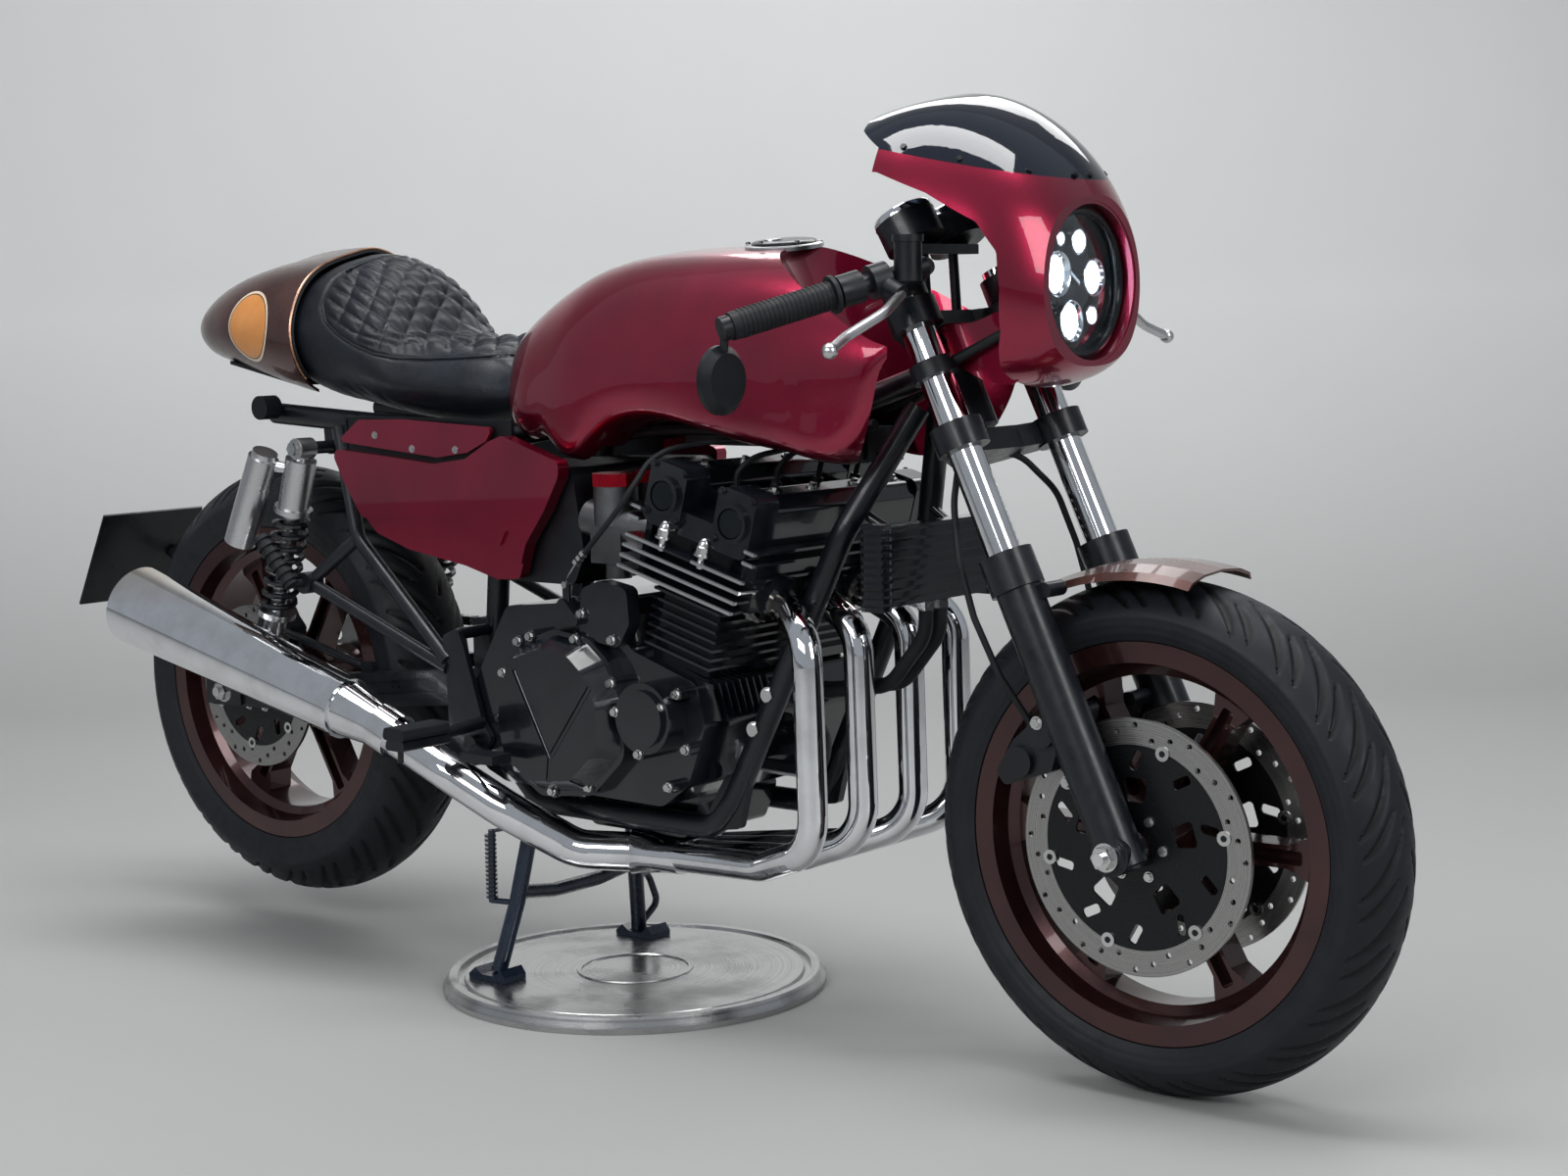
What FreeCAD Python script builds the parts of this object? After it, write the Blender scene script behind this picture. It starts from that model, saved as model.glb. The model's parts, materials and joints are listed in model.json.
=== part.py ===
import FreeCAD, Part
import math
import os

V = FreeCAD.Vector

# A road motorcycle rebuilt as a cafe racer, standing on its centre stand on a round steel plate.
# Millimetres. +X points forward, +Y to the rider's left, +Z up. The origin is on the floor under
# the middle of the round plate.

# Wheels and tyres
WHEELBASE = 1495.0
FRONT_AXLE_X = 837.5
FRONT_TYRE_R = 300.0
REAR_TYRE_R = 321.0
REAR_LIFT = 46.0
FRONT_TYRE_W = 120.0
REAR_TYRE_W = 150.0
FRONT_SIDEWALL = 68.0
REAR_SIDEWALL = 89.0
RIM_LIP = 16.0
FRONT_RIM_W = 104.0
REAR_RIM_W = 132.0
SPOKE_COUNT = 6
HUB_R = 44.0
AXLE_R = 8.5
AXLE_BORE_GAP = 0.3

FA = V(FRONT_AXLE_X, 0, FRONT_TYRE_R)
RA = V(FRONT_AXLE_X - WHEELBASE, 0, REAR_TYRE_R + REAR_LIFT)

# Brakes
FRONT_DISC_R = 148.0
FRONT_DISC_Y = 68.8
REAR_DISC_R = 120.0
REAR_DISC_Y = 94.7
DISC_T = 5.0
DISC_BAND = 30.0
PAD_GAP = 5.2
DISC_HOLE_R = 3.4
EYE_R = 20.0

# Chain drive
SPROCKET_R = 88.0
SPROCKET_Y = 90.0
SPROCKET_T = 6.0
TEETH = 42
TOOTH_H = 7.0
DRIVE_SPROCKET_R = 36.0
DRIVE = V(-62.0, 0, 414.0)
CHAIN_GAP = 2.0
FIT = 0.3
CHAIN_H = 13.0
CHAIN_W = 17.0
CHAIN_PITCH = 15.9

# Fork and steering
RAKE = 24.8
STEM_OFFSET = 45.0
FORK_HALF = 104.0
STANCHION_R = 20.5
LOWER_LEG_R = 27.0
SEAL_Z = 628.0
LOWER_YOKE_Z = 762.0
UPPER_YOKE_Z = 886.0
FORK_TOP_Z = 952.0
YOKE_T = 28.0
HEAD_TUBE_R = 29.0
STEM_R = 14.0
STEM_GAP = 0.5
CLAMP_WALL = 6.0
SWEEP_GAP = 6.0
LAMP = V(700.0, 0, 935.0)
LAMP_R = 89.0

# Frame tubes
TUBE_R = 15.0
RAIL_Y = 100.0
RAIL_Z = 783.0
CRADLE_Z = 258.0
PIVOT = V(-150.0, 0, 414.0)
PIVOT_TUBE_R = 24.0
RIGHT_PIVOT_Y = 94.0
LEFT_PIVOT_Y = 64.0
ARM_IN = 112.0
ARM_OUT = 142.0
SHOCK_TOP = V(-459.0, 160.0, 726.0)

# Engine
CYL_LEAN = 15.6
CYL_BASE = V(216.0, 0, 468.0)
CASE_HALF = 165.0
COVER_DEPTH = 48.0
BARREL_HALF = 150.0
BARREL_H = 108.0
HEAD_H = 66.0
FIN_T = 3.4
BARREL_FINS = 8
BARREL_FIN_PITCH = 12.0
HEAD_FINS = 5
HEAD_FIN_PITCH = 14.0
HEAD_HALF = 196.0
CAM_A = (-36.0, 76.0)
PORTS = (-120.0, -42.0, 42.0, 120.0)
CARB_Y = (-126.0, -42.0, 42.0, 126.0)
HEADER_R = 18.5
AIR_BOX_HALF = 140.0

# Body
SEAT_GAP = 0.5
SHELL_T = 4.0
COWL_FRONT_X = -496.0
TRAY_HALF = 96.0
SIDE_COVER_Y = 166.0
SIDE_COVER_T = 20.0
COVER_PEG_R = 5.0

# Stands and the round plate under them
PLATE_R = 261.0
PLATE_TOP = 18.0
STAND_PIVOT = V(-92.0, 0, 222.0)
STAND_PIN_R = 6.0
SIDE_STAND_PIVOT = V(40.0, 0, 240.0)
SIDE_STAND_LEN = 190.0

parts = {}


def mirror(shape):
    """The same piece on the other side of the middle plane."""
    return shape.mirror(V(0, 0, 0), V(0, 1, 0))


def pair(shape):
    """A piece and its mirror image as two solids."""
    return Part.makeCompound([shape, mirror(shape)])


def fuse(shapes):
    """Several solids joined to one."""
    out = shapes[0].multiFuse(list(shapes[1:])) if len(shapes) > 1 else shapes[0]
    return out.removeSplitter()


def rod(a, b, r):
    """Round bar from a to b."""
    return Part.makeCylinder(r, b.sub(a).Length, a, b.sub(a))


def box(x0, x1, y0, y1, z0, z1):
    """Box between two corners."""
    return Part.makeBox(x1 - x0, y1 - y0, z1 - z0, V(x0, y0, z0))


def corner(a, p, b, r):
    """Start, middle and end of the arc of radius r that rounds the corner at p."""
    u = a.sub(p).normalize()
    w = b.sub(p).normalize()
    half = u.getAngle(w) / 2.0
    if math.pi - 2.0 * half < 0.01:
        return None
    t = min(r / math.tan(half), 0.49 * a.sub(p).Length, 0.49 * b.sub(p).Length)
    rr = t * math.tan(half)
    mid_dir = u.add(w).normalize()
    dist = rr / math.sin(half)
    return p + u * t, p + mid_dir * (dist - rr), p + w * t


def path(points, r, closed=False):
    """Straight runs joined by tangent arcs, as one wire."""
    n = len(points)
    edges = []
    idx = range(n) if closed else range(1, n - 1)
    arcs = {i: corner(points[i - 1], points[i], points[(i + 1) % n], r) for i in idx}
    last = points[0]
    first = None
    if closed and arcs[0]:
        last = arcs[0][2]
        first = arcs[0]
    for i in (range(1, n) if closed else range(1, n - 1)):
        arc = arcs[i]
        if arc is None:
            continue
        if last.sub(arc[0]).Length > 1e-4:
            edges.append(Part.LineSegment(last, arc[0]).toShape())
        edges.append(Part.Arc(arc[0], arc[1], arc[2]).toShape())
        last = arc[2]
    if closed and first:
        if last.sub(first[0]).Length > 1e-4:
            edges.append(Part.LineSegment(last, first[0]).toShape())
        edges.append(Part.Arc(first[0], first[1], first[2]).toShape())
    elif closed:
        edges.append(Part.LineSegment(last, points[0]).toShape())
    else:
        edges.append(Part.LineSegment(last, points[-1]).toShape())
    return Part.Wire(edges)


def pipe(points, r, bend=60.0):
    """Round tube along straight runs joined by tangent arcs, as a solid."""
    solids = []
    last = points[0]
    for i in range(1, len(points) - 1):
        a, p, b = points[i - 1], points[i], points[i + 1]
        arc = corner(a, p, b, bend)
        if arc is None:
            continue
        start, mid, end = arc
        u = p.sub(start).normalize()
        w = end.sub(p).normalize()
        turn = u.getAngle(w)
        axis = u.cross(w).normalize()
        radius = p.sub(start).Length / math.tan(turn / 2.0)
        centre = start + axis.cross(u) * radius
        solids.append(rod(last, start, r))
        section = Part.Face(Part.Wire(Part.makeCircle(r, start, u)))
        solids.append(section.revolve(centre, axis, math.degrees(turn)))
        last = end
    solids.append(rod(last, points[-1], r))
    return fuse(solids)


def slab(outline, y0, y1, r=0.0):
    """Plate with an outline of (x, z) points, from y0 to y1, corners rounded by r."""
    pts = [V(x, y0, z) for x, z in outline]
    wire = path(pts, r, True) if r else Part.makePolygon(pts + [pts[0]])
    return Part.Face(wire).extrude(V(0, y1 - y0, 0))


def turned(profile, centre):
    """Ring or wheel about an axle along Y: profile of (y, radius) points with flat runs."""
    pts = [V(centre.x, y, centre.z + r) for y, r in profile]
    face = Part.Face(Part.makePolygon(pts + [pts[0]]))
    return face.revolve(centre, V(0, 1, 0), 360)


def oval(x, w, low, wide, high, flat=0.72):
    """Closed smooth section across the machine at x, widest at height wide."""
    up = high - wide
    dn = wide - low
    half = [(0.0, high), (flat * w, wide + 0.74 * up), (w, wide), (flat * w, wide - 0.80 * dn), (0.0, low)]
    pts = [V(x, y, z) for y, z in half] + [V(x, -y, z) for y, z in half[3:0:-1]]
    curve = Part.BSplineCurve()
    curve.interpolate(Points=pts, PeriodicFlag=True)
    return Part.Wire(curve.toShape())


def tank_ring(x, w, low, wide, high):
    """Closed section of the tank at x: flat sides with a tucked lower edge and a domed top."""
    up = high - wide
    half = [(0.0, high), (0.50 * w, high - 0.09 * up), (0.84 * w, high - 0.40 * up), (w, wide),
            (w - 2.0, low + 0.40 * (wide - low)), (w - 9.0, low + 9.0), (w - 26.0, low), (0.0, low)]
    pts = [V(x, y, z) for y, z in half] + [V(x, -y, z) for y, z in half[6:0:-1]]
    curve = Part.BSplineCurve()
    curve.interpolate(Points=pts, PeriodicFlag=True)
    return Part.Wire(curve.toShape())


def body(sections, grow=0.0):
    """Smooth body through oval sections; grow moves its skin out, or in if below zero."""
    wires = [oval(x, w + grow, lo - grow, wd, hi + grow) for x, w, lo, wd, hi in sections]
    return Part.makeLoft(wires, True, False)


def fork_point(z, y=0.0):
    """Point on a fork leg's axis at height z."""
    return V(FA.x - (z - FA.z) * math.tan(math.radians(RAKE)), y, z)


FORK_UP = fork_point(1300.0).sub(fork_point(300.0)).normalize()
FORK_AHEAD = V(FORK_UP.z, 0, -FORK_UP.x)


def stem_point(z):
    """Point on the steering axis, square behind the fork's point at height z."""
    return fork_point(z) - FORK_AHEAD * STEM_OFFSET


def in_fork(shape, z):
    """Place a piece drawn about the origin, its Z along the fork, on the fork's middle at z."""
    s = shape.copy()
    s.rotate(V(0, 0, 0), V(0, 1, 0), -RAKE)
    s.translate(fork_point(z))
    return s


def in_cylinder(shape):
    """Place a piece drawn on the cylinder base, leaning it forward with the engine."""
    s = shape.copy()
    s.rotate(V(0, 0, 0), V(0, 1, 0), CYL_LEAN)
    s.translate(CYL_BASE)
    return s


def main_solid(shape):
    """The largest solid of a cut piece."""
    return max(shape.Solids, key=lambda s: s.Volume)


def tapered(outline, y0, y1, r, inset):
    """Raised cover: an outline at y0 that draws in towards its middle by the share inset at y1."""
    cx = sum(p[0] for p in outline) / len(outline)
    cz = sum(p[1] for p in outline) / len(outline)
    near = path([V(x, y0, z) for x, z in outline], r, True)
    far = path([V(cx + (x - cx) * (1 - inset), y1, cz + (z - cz) * (1 - inset)) for x, z in outline],
               r * (1 - inset), True)
    return Part.makeLoft([near, far], True, True)


def tyre(centre, r, width, rim_w, wall):
    """Tyre with rounded crown, side walls and beads, turned about the axle."""
    h = width / 2.0
    flange = r - wall
    shoulder = V(centre.x, h, centre.z + r - 0.56 * wall)
    crown = V(centre.x, 0, centre.z + r)
    lip = V(centre.x, rim_w / 2.0 + 1.0, centre.z + flange + 1.5)
    bead_out = V(centre.x, rim_w / 2.0 - 5.5, centre.z + flange + 1.5)
    bead_in = V(centre.x, rim_w / 2.0 - 5.5, centre.z + flange - RIM_LIP + 0.5)

    def m(p):
        return V(p.x, -p.y, p.z)
    mid_wall = V(centre.x, h * 0.96, centre.z + r - 0.8 * wall)
    tread = V(centre.x, h * 0.62, centre.z + r - 0.17 * wall)
    edges = [Part.Arc(m(shoulder), m(tread), crown).toShape(),
             Part.Arc(crown, tread, shoulder).toShape(),
             Part.Arc(shoulder, mid_wall, lip).toShape(),
             Part.LineSegment(lip, bead_out).toShape(),
             Part.LineSegment(bead_out, bead_in).toShape(),
             Part.LineSegment(bead_in, m(bead_in)).toShape(),
             Part.LineSegment(m(bead_in), m(bead_out)).toShape(),
             Part.LineSegment(m(bead_out), m(lip)).toShape(),
             Part.Arc(m(lip), m(mid_wall), m(shoulder)).toShape()]
    face = Part.Face(Part.Wire(edges))
    return face.revolve(centre, V(0, 1, 0), 360)


def rim(centre, rim_w, hub_half, flange):
    """Cast wheel: rim with a dropped centre, hub with ribs, and channelled spokes that widen outward."""
    h = rim_w / 2.0
    seat = flange - RIM_LIP
    ring = turned([(-h, flange), (-h + 5, flange), (-h + 5, seat), (-h + 26, seat), (-h + 34, seat - 16),
                   (h - 34, seat - 16), (h - 26, seat), (h - 5, seat), (h - 5, flange), (h, flange),
                   (h, seat - 8), (h - 24, seat - 14), (h - 32, seat - 25), (-h + 32, seat - 25),
                   (-h + 24, seat - 14), (-h, seat - 8)], centre)
    bore = AXLE_R + AXLE_BORE_GAP
    hub = turned([(-hub_half, bore), (-hub_half, HUB_R - 10), (-hub_half + 12, HUB_R),
                  (hub_half - 12, HUB_R), (hub_half, HUB_R - 10), (hub_half, bore)], centre)
    out = seat - 22
    outline = [(-17, HUB_R - 6), (-13, HUB_R + 40), (-13, out - 30), (-27, out), (27, out), (13, out - 30),
               (13, HUB_R + 40), (17, HUB_R - 6)]
    pocket = [(-8, HUB_R + 14), (-8, out - 12), (8, out - 12), (8, HUB_R + 14)]
    spokes = []
    for i in range(SPOKE_COUNT):
        s = slab(outline, -20, 20).cut(fuse([slab(pocket, -21, -6, 4), slab(pocket, 6, 21, 4)]))
        s.rotate(V(0, 0, 0), V(0, 1, 0), 360.0 * i / SPOKE_COUNT + 30.0)
        s.translate(centre)
        spokes.append(s)
    return fuse([ring, hub] + spokes)


def disc(centre, y, r, band, inner_y):
    """Floating brake disc: drilled band, slotted carrier and the buttons that join them."""
    half = DISC_T / 2.0
    ring = turned([(y - half, r - band), (y - half, r), (y + half, r), (y + half, r - band)], centre)
    plate = turned([(y - half + 1, EYE_R), (y - half + 1, r - band), (y + half - 1, r - band),
                    (y + half - 1, HUB_R - 14), (inner_y, HUB_R - 14), (inner_y, EYE_R)], centre)
    cuts = []
    for i in range(36):
        a = math.radians(10.0 * i)
        q = r - 7.5 - 7.5 * (i % 3)
        hole = V(centre.x + q * math.cos(a), y - 8, centre.z + q * math.sin(a))
        cuts.append(Part.makeCylinder(DISC_HOLE_R, 16, hole, V(0, 1, 0)))
    slot = slab([(-5, r - band - 30), (-5, r - band - 6), (6, r - band - 6), (6, r - band - 30)],
                y - 8, y + 8, 4)
    slot.rotate(V(0, 0, r - band - 18), V(0, 1, 0), 28.0)
    for i in range(10):
        s = slot.copy()
        s.translate(centre)
        s.rotate(centre, V(0, 1, 0), 36.0 * i)
        cuts.append(s)
    low, high = HUB_R + 8, r - band - 38
    for i in range(5 if high - low > 12 else 0):
        s = slab([(-11, low), (-16, high), (16, high), (11, low)], y - 8, y + 8, 5)
        s.translate(centre)
        s.rotate(centre, V(0, 1, 0), 72.0 * i)
        cuts.append(s)
    return fuse([ring, plate]).cut(Part.makeCompound(cuts))


def sprocket(centre, r, y, thick, bore):
    """Toothed chain wheel with lightening holes."""
    pts = []
    for i in range(TEETH):
        for part, q in ((-0.30, r - TOOTH_H), (-0.12, r), (0.12, r), (0.30, r - TOOTH_H)):
            a = 2.0 * math.pi * (i + part) / TEETH
            pts.append((centre.x + q * math.cos(a), centre.z + q * math.sin(a)))
    holes = [rod(V(centre.x, y - 5, centre.z), V(centre.x, y + thick + 5, centre.z), bore)]
    for i in range(6):
        a = math.radians(60.0 * i)
        hub = V(centre.x + 62 * math.cos(a), y - 5, centre.z + 62 * math.sin(a))
        holes.append(Part.makeCylinder(9, thick + 10, hub, V(0, 1, 0)))
    return slab(pts, y, y + thick).cut(Part.makeCompound(holes))


def belt(c1, r1, c2, r2, y0, y1):
    """Solid inside a taut loop round two circles, from y0 to y1."""
    d = c2.sub(c1)
    lean = math.atan2(d.z, d.x)
    turn = math.acos((r1 - r2) / d.Length)
    sides = [V(math.cos(lean + k * turn), 0, math.sin(lean + k * turn)) for k in (1, -1)]
    line = [c1 + sides[0] * r1, c2 + sides[0] * r2, c2 + sides[1] * r2, c1 + sides[1] * r1]
    ends = [Part.makeCylinder(r, y1 - y0, V(c.x, y0, c.z), V(0, 1, 0)) for c, r in ((c1, r1), (c2, r2))]
    return fuse([slab([(p.x, p.z) for p in line], y0, y1)] + ends)


def chain():
    """Drive chain: a band of inner links, with every other pair of plates standing out."""
    mid = SPROCKET_Y + SPROCKET_T / 2
    r1 = SPROCKET_R + CHAIN_GAP + CHAIN_H / 2
    r2 = DRIVE_SPROCKET_R + FIT + CHAIN_H / 2
    thin = CHAIN_H / 2 - 1.5
    y0, y1 = mid - CHAIN_W / 2 + 3, mid + CHAIN_W / 2 - 3
    band = belt(RA, r1 + thin, DRIVE, r2 + thin, y0, y1).cut(belt(RA, r1 - thin, DRIVE, r2 - thin, y0, y1))
    d = DRIVE.sub(RA)
    lean = math.atan2(d.z, d.x)
    turn = math.acos((r1 - r2) / d.Length)
    run = d.Length * math.sin(turn)
    loop = 2.0 * run + r2 * 2.0 * turn + r1 * 2.0 * (math.pi - turn)
    count = 2 * int(loop / CHAIN_PITCH / 2.0)
    links = []
    for i in range(0, count, 2):
        s = loop * i / count
        if s < run:
            spin, at = 0.0, RA + V(math.cos(lean + turn), 0, math.sin(lean + turn)) * r1
            heading = lean + turn - math.pi / 2
            at = at + V(math.cos(heading), 0, math.sin(heading)) * s
        elif s < run + 2.0 * turn * r2:
            spin = lean + turn - (s - run) / r2
            at = DRIVE + V(math.cos(spin), 0, math.sin(spin)) * r2
            heading = spin - math.pi / 2
        elif s < 2.0 * run + 2.0 * turn * r2:
            heading = lean - turn - math.pi / 2
            at = DRIVE + V(math.cos(lean - turn), 0, math.sin(lean - turn)) * r2
            at = at + V(math.cos(heading), 0, math.sin(heading)) * (s - run - 2.0 * turn * r2)
        else:
            spin = lean - turn - (s - 2.0 * run - 2.0 * turn * r2) / r1
            at = RA + V(math.cos(spin), 0, math.sin(spin)) * r1
            heading = spin - math.pi / 2
        half = 0.68 * CHAIN_PITCH
        link = Part.makeBox(2 * half, CHAIN_W, CHAIN_H, V(-half, mid - CHAIN_W / 2, -CHAIN_H / 2))
        link.rotate(V(0, 0, 0), V(0, 1, 0), -math.degrees(heading))
        link.translate(V(at.x, 0, at.z))
        links.append(link)
    parts["chain"] = fuse([band] + links)


def wheels():
    """Both wheels with their tyres, discs and the driven sprocket."""
    flange = FRONT_TYRE_R - FRONT_SIDEWALL
    parts["front_tyre"] = tyre(FA, FRONT_TYRE_R, FRONT_TYRE_W, FRONT_RIM_W, FRONT_SIDEWALL)
    parts["front_rim"] = rim(FA, FRONT_RIM_W, FRONT_DISC_Y - DISC_T / 2 + 1, flange)
    d = disc(FA, -FRONT_DISC_Y, FRONT_DISC_R, DISC_BAND, -FRONT_DISC_Y + DISC_T / 2 - 1)
    parts["front_discs"] = pair(d)
    flange = REAR_TYRE_R - REAR_SIDEWALL
    parts["rear_tyre"] = tyre(RA, REAR_TYRE_R, REAR_TYRE_W, REAR_RIM_W, REAR_SIDEWALL)
    parts["rear_rim"] = rim(RA, REAR_RIM_W, SPROCKET_Y, flange)
    parts["rear_disc"] = disc(RA, -REAR_DISC_Y, REAR_DISC_R, DISC_BAND, -SPROCKET_Y)
    parts["rear_sprocket"] = sprocket(RA, SPROCKET_R, SPROCKET_Y, SPROCKET_T, EYE_R)


def leg_rod(z0, z1, y, r):
    """Bar on a fork leg's axis between two heights."""
    return rod(fork_point(z0, y), fork_point(z1, y), r)


def fork():
    """Yokes with stem, stanchions, lower legs with the axle, calipers and hoses."""
    web = [V(-72, -32, 0), V(-34, -104, 0), V(-4, -104, 0), (V(-14, -40, 0)), V(-14, 40, 0), V(-4, 104, 0),
           V(-34, 104, 0), V(-72, 32, 0)]
    plate = Part.Face(path(web, 12, True)).extrude(V(0, 0, YOKE_T))
    solids = [in_fork(plate, LOWER_YOKE_Z - YOKE_T / 2), in_fork(plate, UPPER_YOKE_Z),
              rod(stem_point(LOWER_YOKE_Z), stem_point(UPPER_YOKE_Z + 20), STEM_R)]
    ring = Part.makeCylinder(STANCHION_R + 11, YOKE_T + 4, V(0, -FORK_HALF, 0))
    for z in (LOWER_YOKE_Z - YOKE_T / 2 - 2, UPPER_YOKE_Z - 2):
        solids += [in_fork(ring, z), in_fork(mirror(ring), z)]
    legs = [leg_rod(SEAL_Z - 40, FORK_TOP_Z, s * FORK_HALF, STANCHION_R) for s in (-1, 1)]
    tubes = Part.makeCompound(legs)
    parts["fork_stanchions"] = tubes
    parts["fork_yokes"] = fuse(solids).cut(tubes)
    parts["front_fender"] = front_fender()
    lowers = []
    for s in (-1, 1):
        y = s * FORK_HALF
        leg = leg_rod(FA.z - 16, SEAL_Z - 24, y, LOWER_LEG_R)
        collar = leg_rod(SEAL_Z - 40, SEAL_Z, y, LOWER_LEG_R + 5)
        lug = rod(V(FA.x, y - 22, FA.z), V(FA.x, y + 22, FA.z), 24)
        stay = rod(V(fork_point(590).x + 35, s * 69, 590), V(fork_point(590).x + 35, y, 590), 9)
        lowers.append(fuse([leg, collar, lug, stay]).cut(rod(V(FA.x, y - 40, FA.z), V(FA.x, y + 40, FA.z), AXLE_R)))
    lowers = Part.makeCompound(lowers).cut(tubes).cut(parts["front_fender"])
    axle = fuse([rod(V(FA.x, -134, FA.z), V(FA.x, 134, FA.z), AXLE_R),
                 rod(V(FA.x, -134, FA.z), V(FA.x, -126, FA.z), 15),
                 rod(V(FA.x, 126, FA.z), V(FA.x, 134, FA.z), 15)])
    spacer = [rod(V(FA.x, s * 68, FA.z), V(FA.x, s * 82, FA.z), 14) for s in (-1, 1)]
    parts["front_axle"] = fuse([axle] + spacer)
    parts["fork_lowers"] = lowers.cut(parts["front_axle"])
    parts["front_calipers"] = pair(front_caliper())
    route = [V(574, -16, 741), V(596, -66, 728), V(618, -108, 684), V(636, -124, 620), V(656, -124, 556),
             V(684, -116, 492), V(716, -100, 436)]
    hose = pipe(route, 4, 60).cut(parts["front_calipers"]).cut(parts["fork_yokes"])
    parts["brake_hoses"] = pair(main_solid(hose))


def front_caliper():
    """Caliper behind the right fork leg, straddling the disc."""
    block = slab([(-150, 62), (-86, 84), (-64, 160), (-96, 153), (-138, 116), (-162, 78)], -42, 30, 8)
    pots = [rod(V(x, -49, z), V(x, -42, z), 18) for x, z in ((-128, 92), (-98, 128))]
    block = fuse([block] + pots)
    block.translate(V(FA.x, -FRONT_DISC_Y, FA.z))
    gap = DISC_T / 2 + PAD_GAP
    slot = rod(V(FA.x, -FRONT_DISC_Y - gap, FA.z), V(FA.x, -FRONT_DISC_Y + gap, FA.z), FRONT_DISC_R + 8)
    leg = leg_rod(FA.z - 16, SEAL_Z, -FORK_HALF, LOWER_LEG_R)
    return main_solid(block.cut(slot).cut(leg))


def front_fender():
    """Short arched front mudguard with shallow sides."""
    r = FRONT_TYRE_R + 9
    outer = turned([(-71, r - 6), (-64, r + 3), (-40, r + 10), (0, r + 13), (40, r + 10), (64, r + 3),
                    (71, r - 6), (68, r - 6), (62, r), (39, r + 7), (0, r + 10), (-39, r + 7),
                    (-62, r), (-68, r - 6)], FA)
    a0, a1 = math.radians(77), math.radians(113)
    far = 500
    wedge = slab([(FA.x, FA.z), (FA.x + far * math.cos(a0), FA.z + far * math.sin(a0)),
                  (FA.x + far * math.cos((a0 + a1) / 2), FA.z + far),
                  (FA.x + far * math.cos(a1), FA.z + far * math.sin(a1))], -100, 100)
    return outer.common(wedge)


def fairing_sections(grow=0.0):
    """Half-egg around the headlight: x, half width, bottom, widest height, top."""
    rows = [(740, 102, 839, 935, 1034), (718, 128, 826, 940, 1068), (680, 154, 814, 952, 1108),
            (620, 170, 808, 975, 1146), (570, 175, 804, 995, 1158), (510, 172, 798, 1010, 1152),
            (460, 164, 796, 1018, 1137)]
    return [(x + grow, w, low, wide, high) for x, w, low, wide, high in rows]


def fairing():
    """Bikini fairing shell, cut for the light and the arms, with its bubble screen on top."""
    shell = body(fairing_sections()).cut(body(fairing_sections(-SHELL_T), -SHELL_T))
    light_hole = rod(V(590, 0, LAMP.z), V(800, 0, LAMP.z), LAMP_R + 4)
    arch = slab([(430, 700), (684, 700), (684, 837), (700, 881), (705, 930), (702, 970), (680, 1004),
                 (620, 1038), (552, 1064), (430, 1066)], -300, 300, 16)
    back = slab([(400, 700), (546, 700), (546, 1092), (508, 1114), (484, 1180), (400, 1180)], -300, 300)
    shell = shell.cut(light_hole).cut(arch).cut(back)
    split = slab([(400, 1116), (560, 1088), (748, 1048), (900, 1048), (900, 1300), (400, 1300)], -300, 300)
    lip = rod(LAMP + V(6, 0, 0), LAMP + V(39, 0, 0), LAMP_R + 5).cut(
        rod(LAMP, LAMP + V(40, 0, 0), LAMP_R + 0.3))
    parts["fairing"] = main_solid(fuse([shell.cut(split), lip]))
    parts["windscreen"] = main_solid(shell.common(split))


def headlight():
    """Round lamp: bowl with its brackets and indicators, bezel ring and lens."""
    bowl = Part.makeCone(40, LAMP_R - 3, 70, LAMP - V(70, 0, 0), V(1, 0, 0))
    ring = rod(LAMP, LAMP + V(24, 0, 0), LAMP_R)
    solids = [bowl, ring]
    for s in (-1, 1):
        band = leg_rod(828, 846, s * FORK_HALF, STANCHION_R + 7)
        arm = rod(fork_point(838, s * (FORK_HALF - 8)), LAMP + V(10, s * 78, -38), 6)
        pod = rod(V(704, s * 84, 826), V(736, s * 88, 820), 17)
        stalk = rod(LAMP + V(10, s * 64, -58), V(712, s * 85, 824), 6)
        solids += [band, arm, pod, stalk]
    well = rod(LAMP + V(2, 0, 0), LAMP + V(30, 0, 0), LAMP_R - 9)
    shell = fuse(solids).cut(well).cut(parts["fork_stanchions"]).cut(parts["fairing"])
    parts["headlight_shell"] = main_solid(shell)
    parts["headlight_lens"] = rod(LAMP + V(2, 0, 0), LAMP + V(18, 0, 0), LAMP_R - 9.3)


def instruments():
    """Two round gauges on a bar that stands on the upper yoke."""
    d = V(-0.5, 0, 0.866)
    cans = []
    for s in (-1, 1):
        low = V(522, s * 43, 984)
        cans.append(rod(low, low + d * 40, 37).cut(rod(low + d * 36, low + d * 60, 33)))
        cans.append(rod(V(522, s * 30, 980), V(528, s * 30, 892), 6))
    bar = box(508, 538, -62, 62, 972, 984)
    parts["instruments"] = fuse(cans + [bar]).cut(parts["fork_yokes"])


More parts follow.
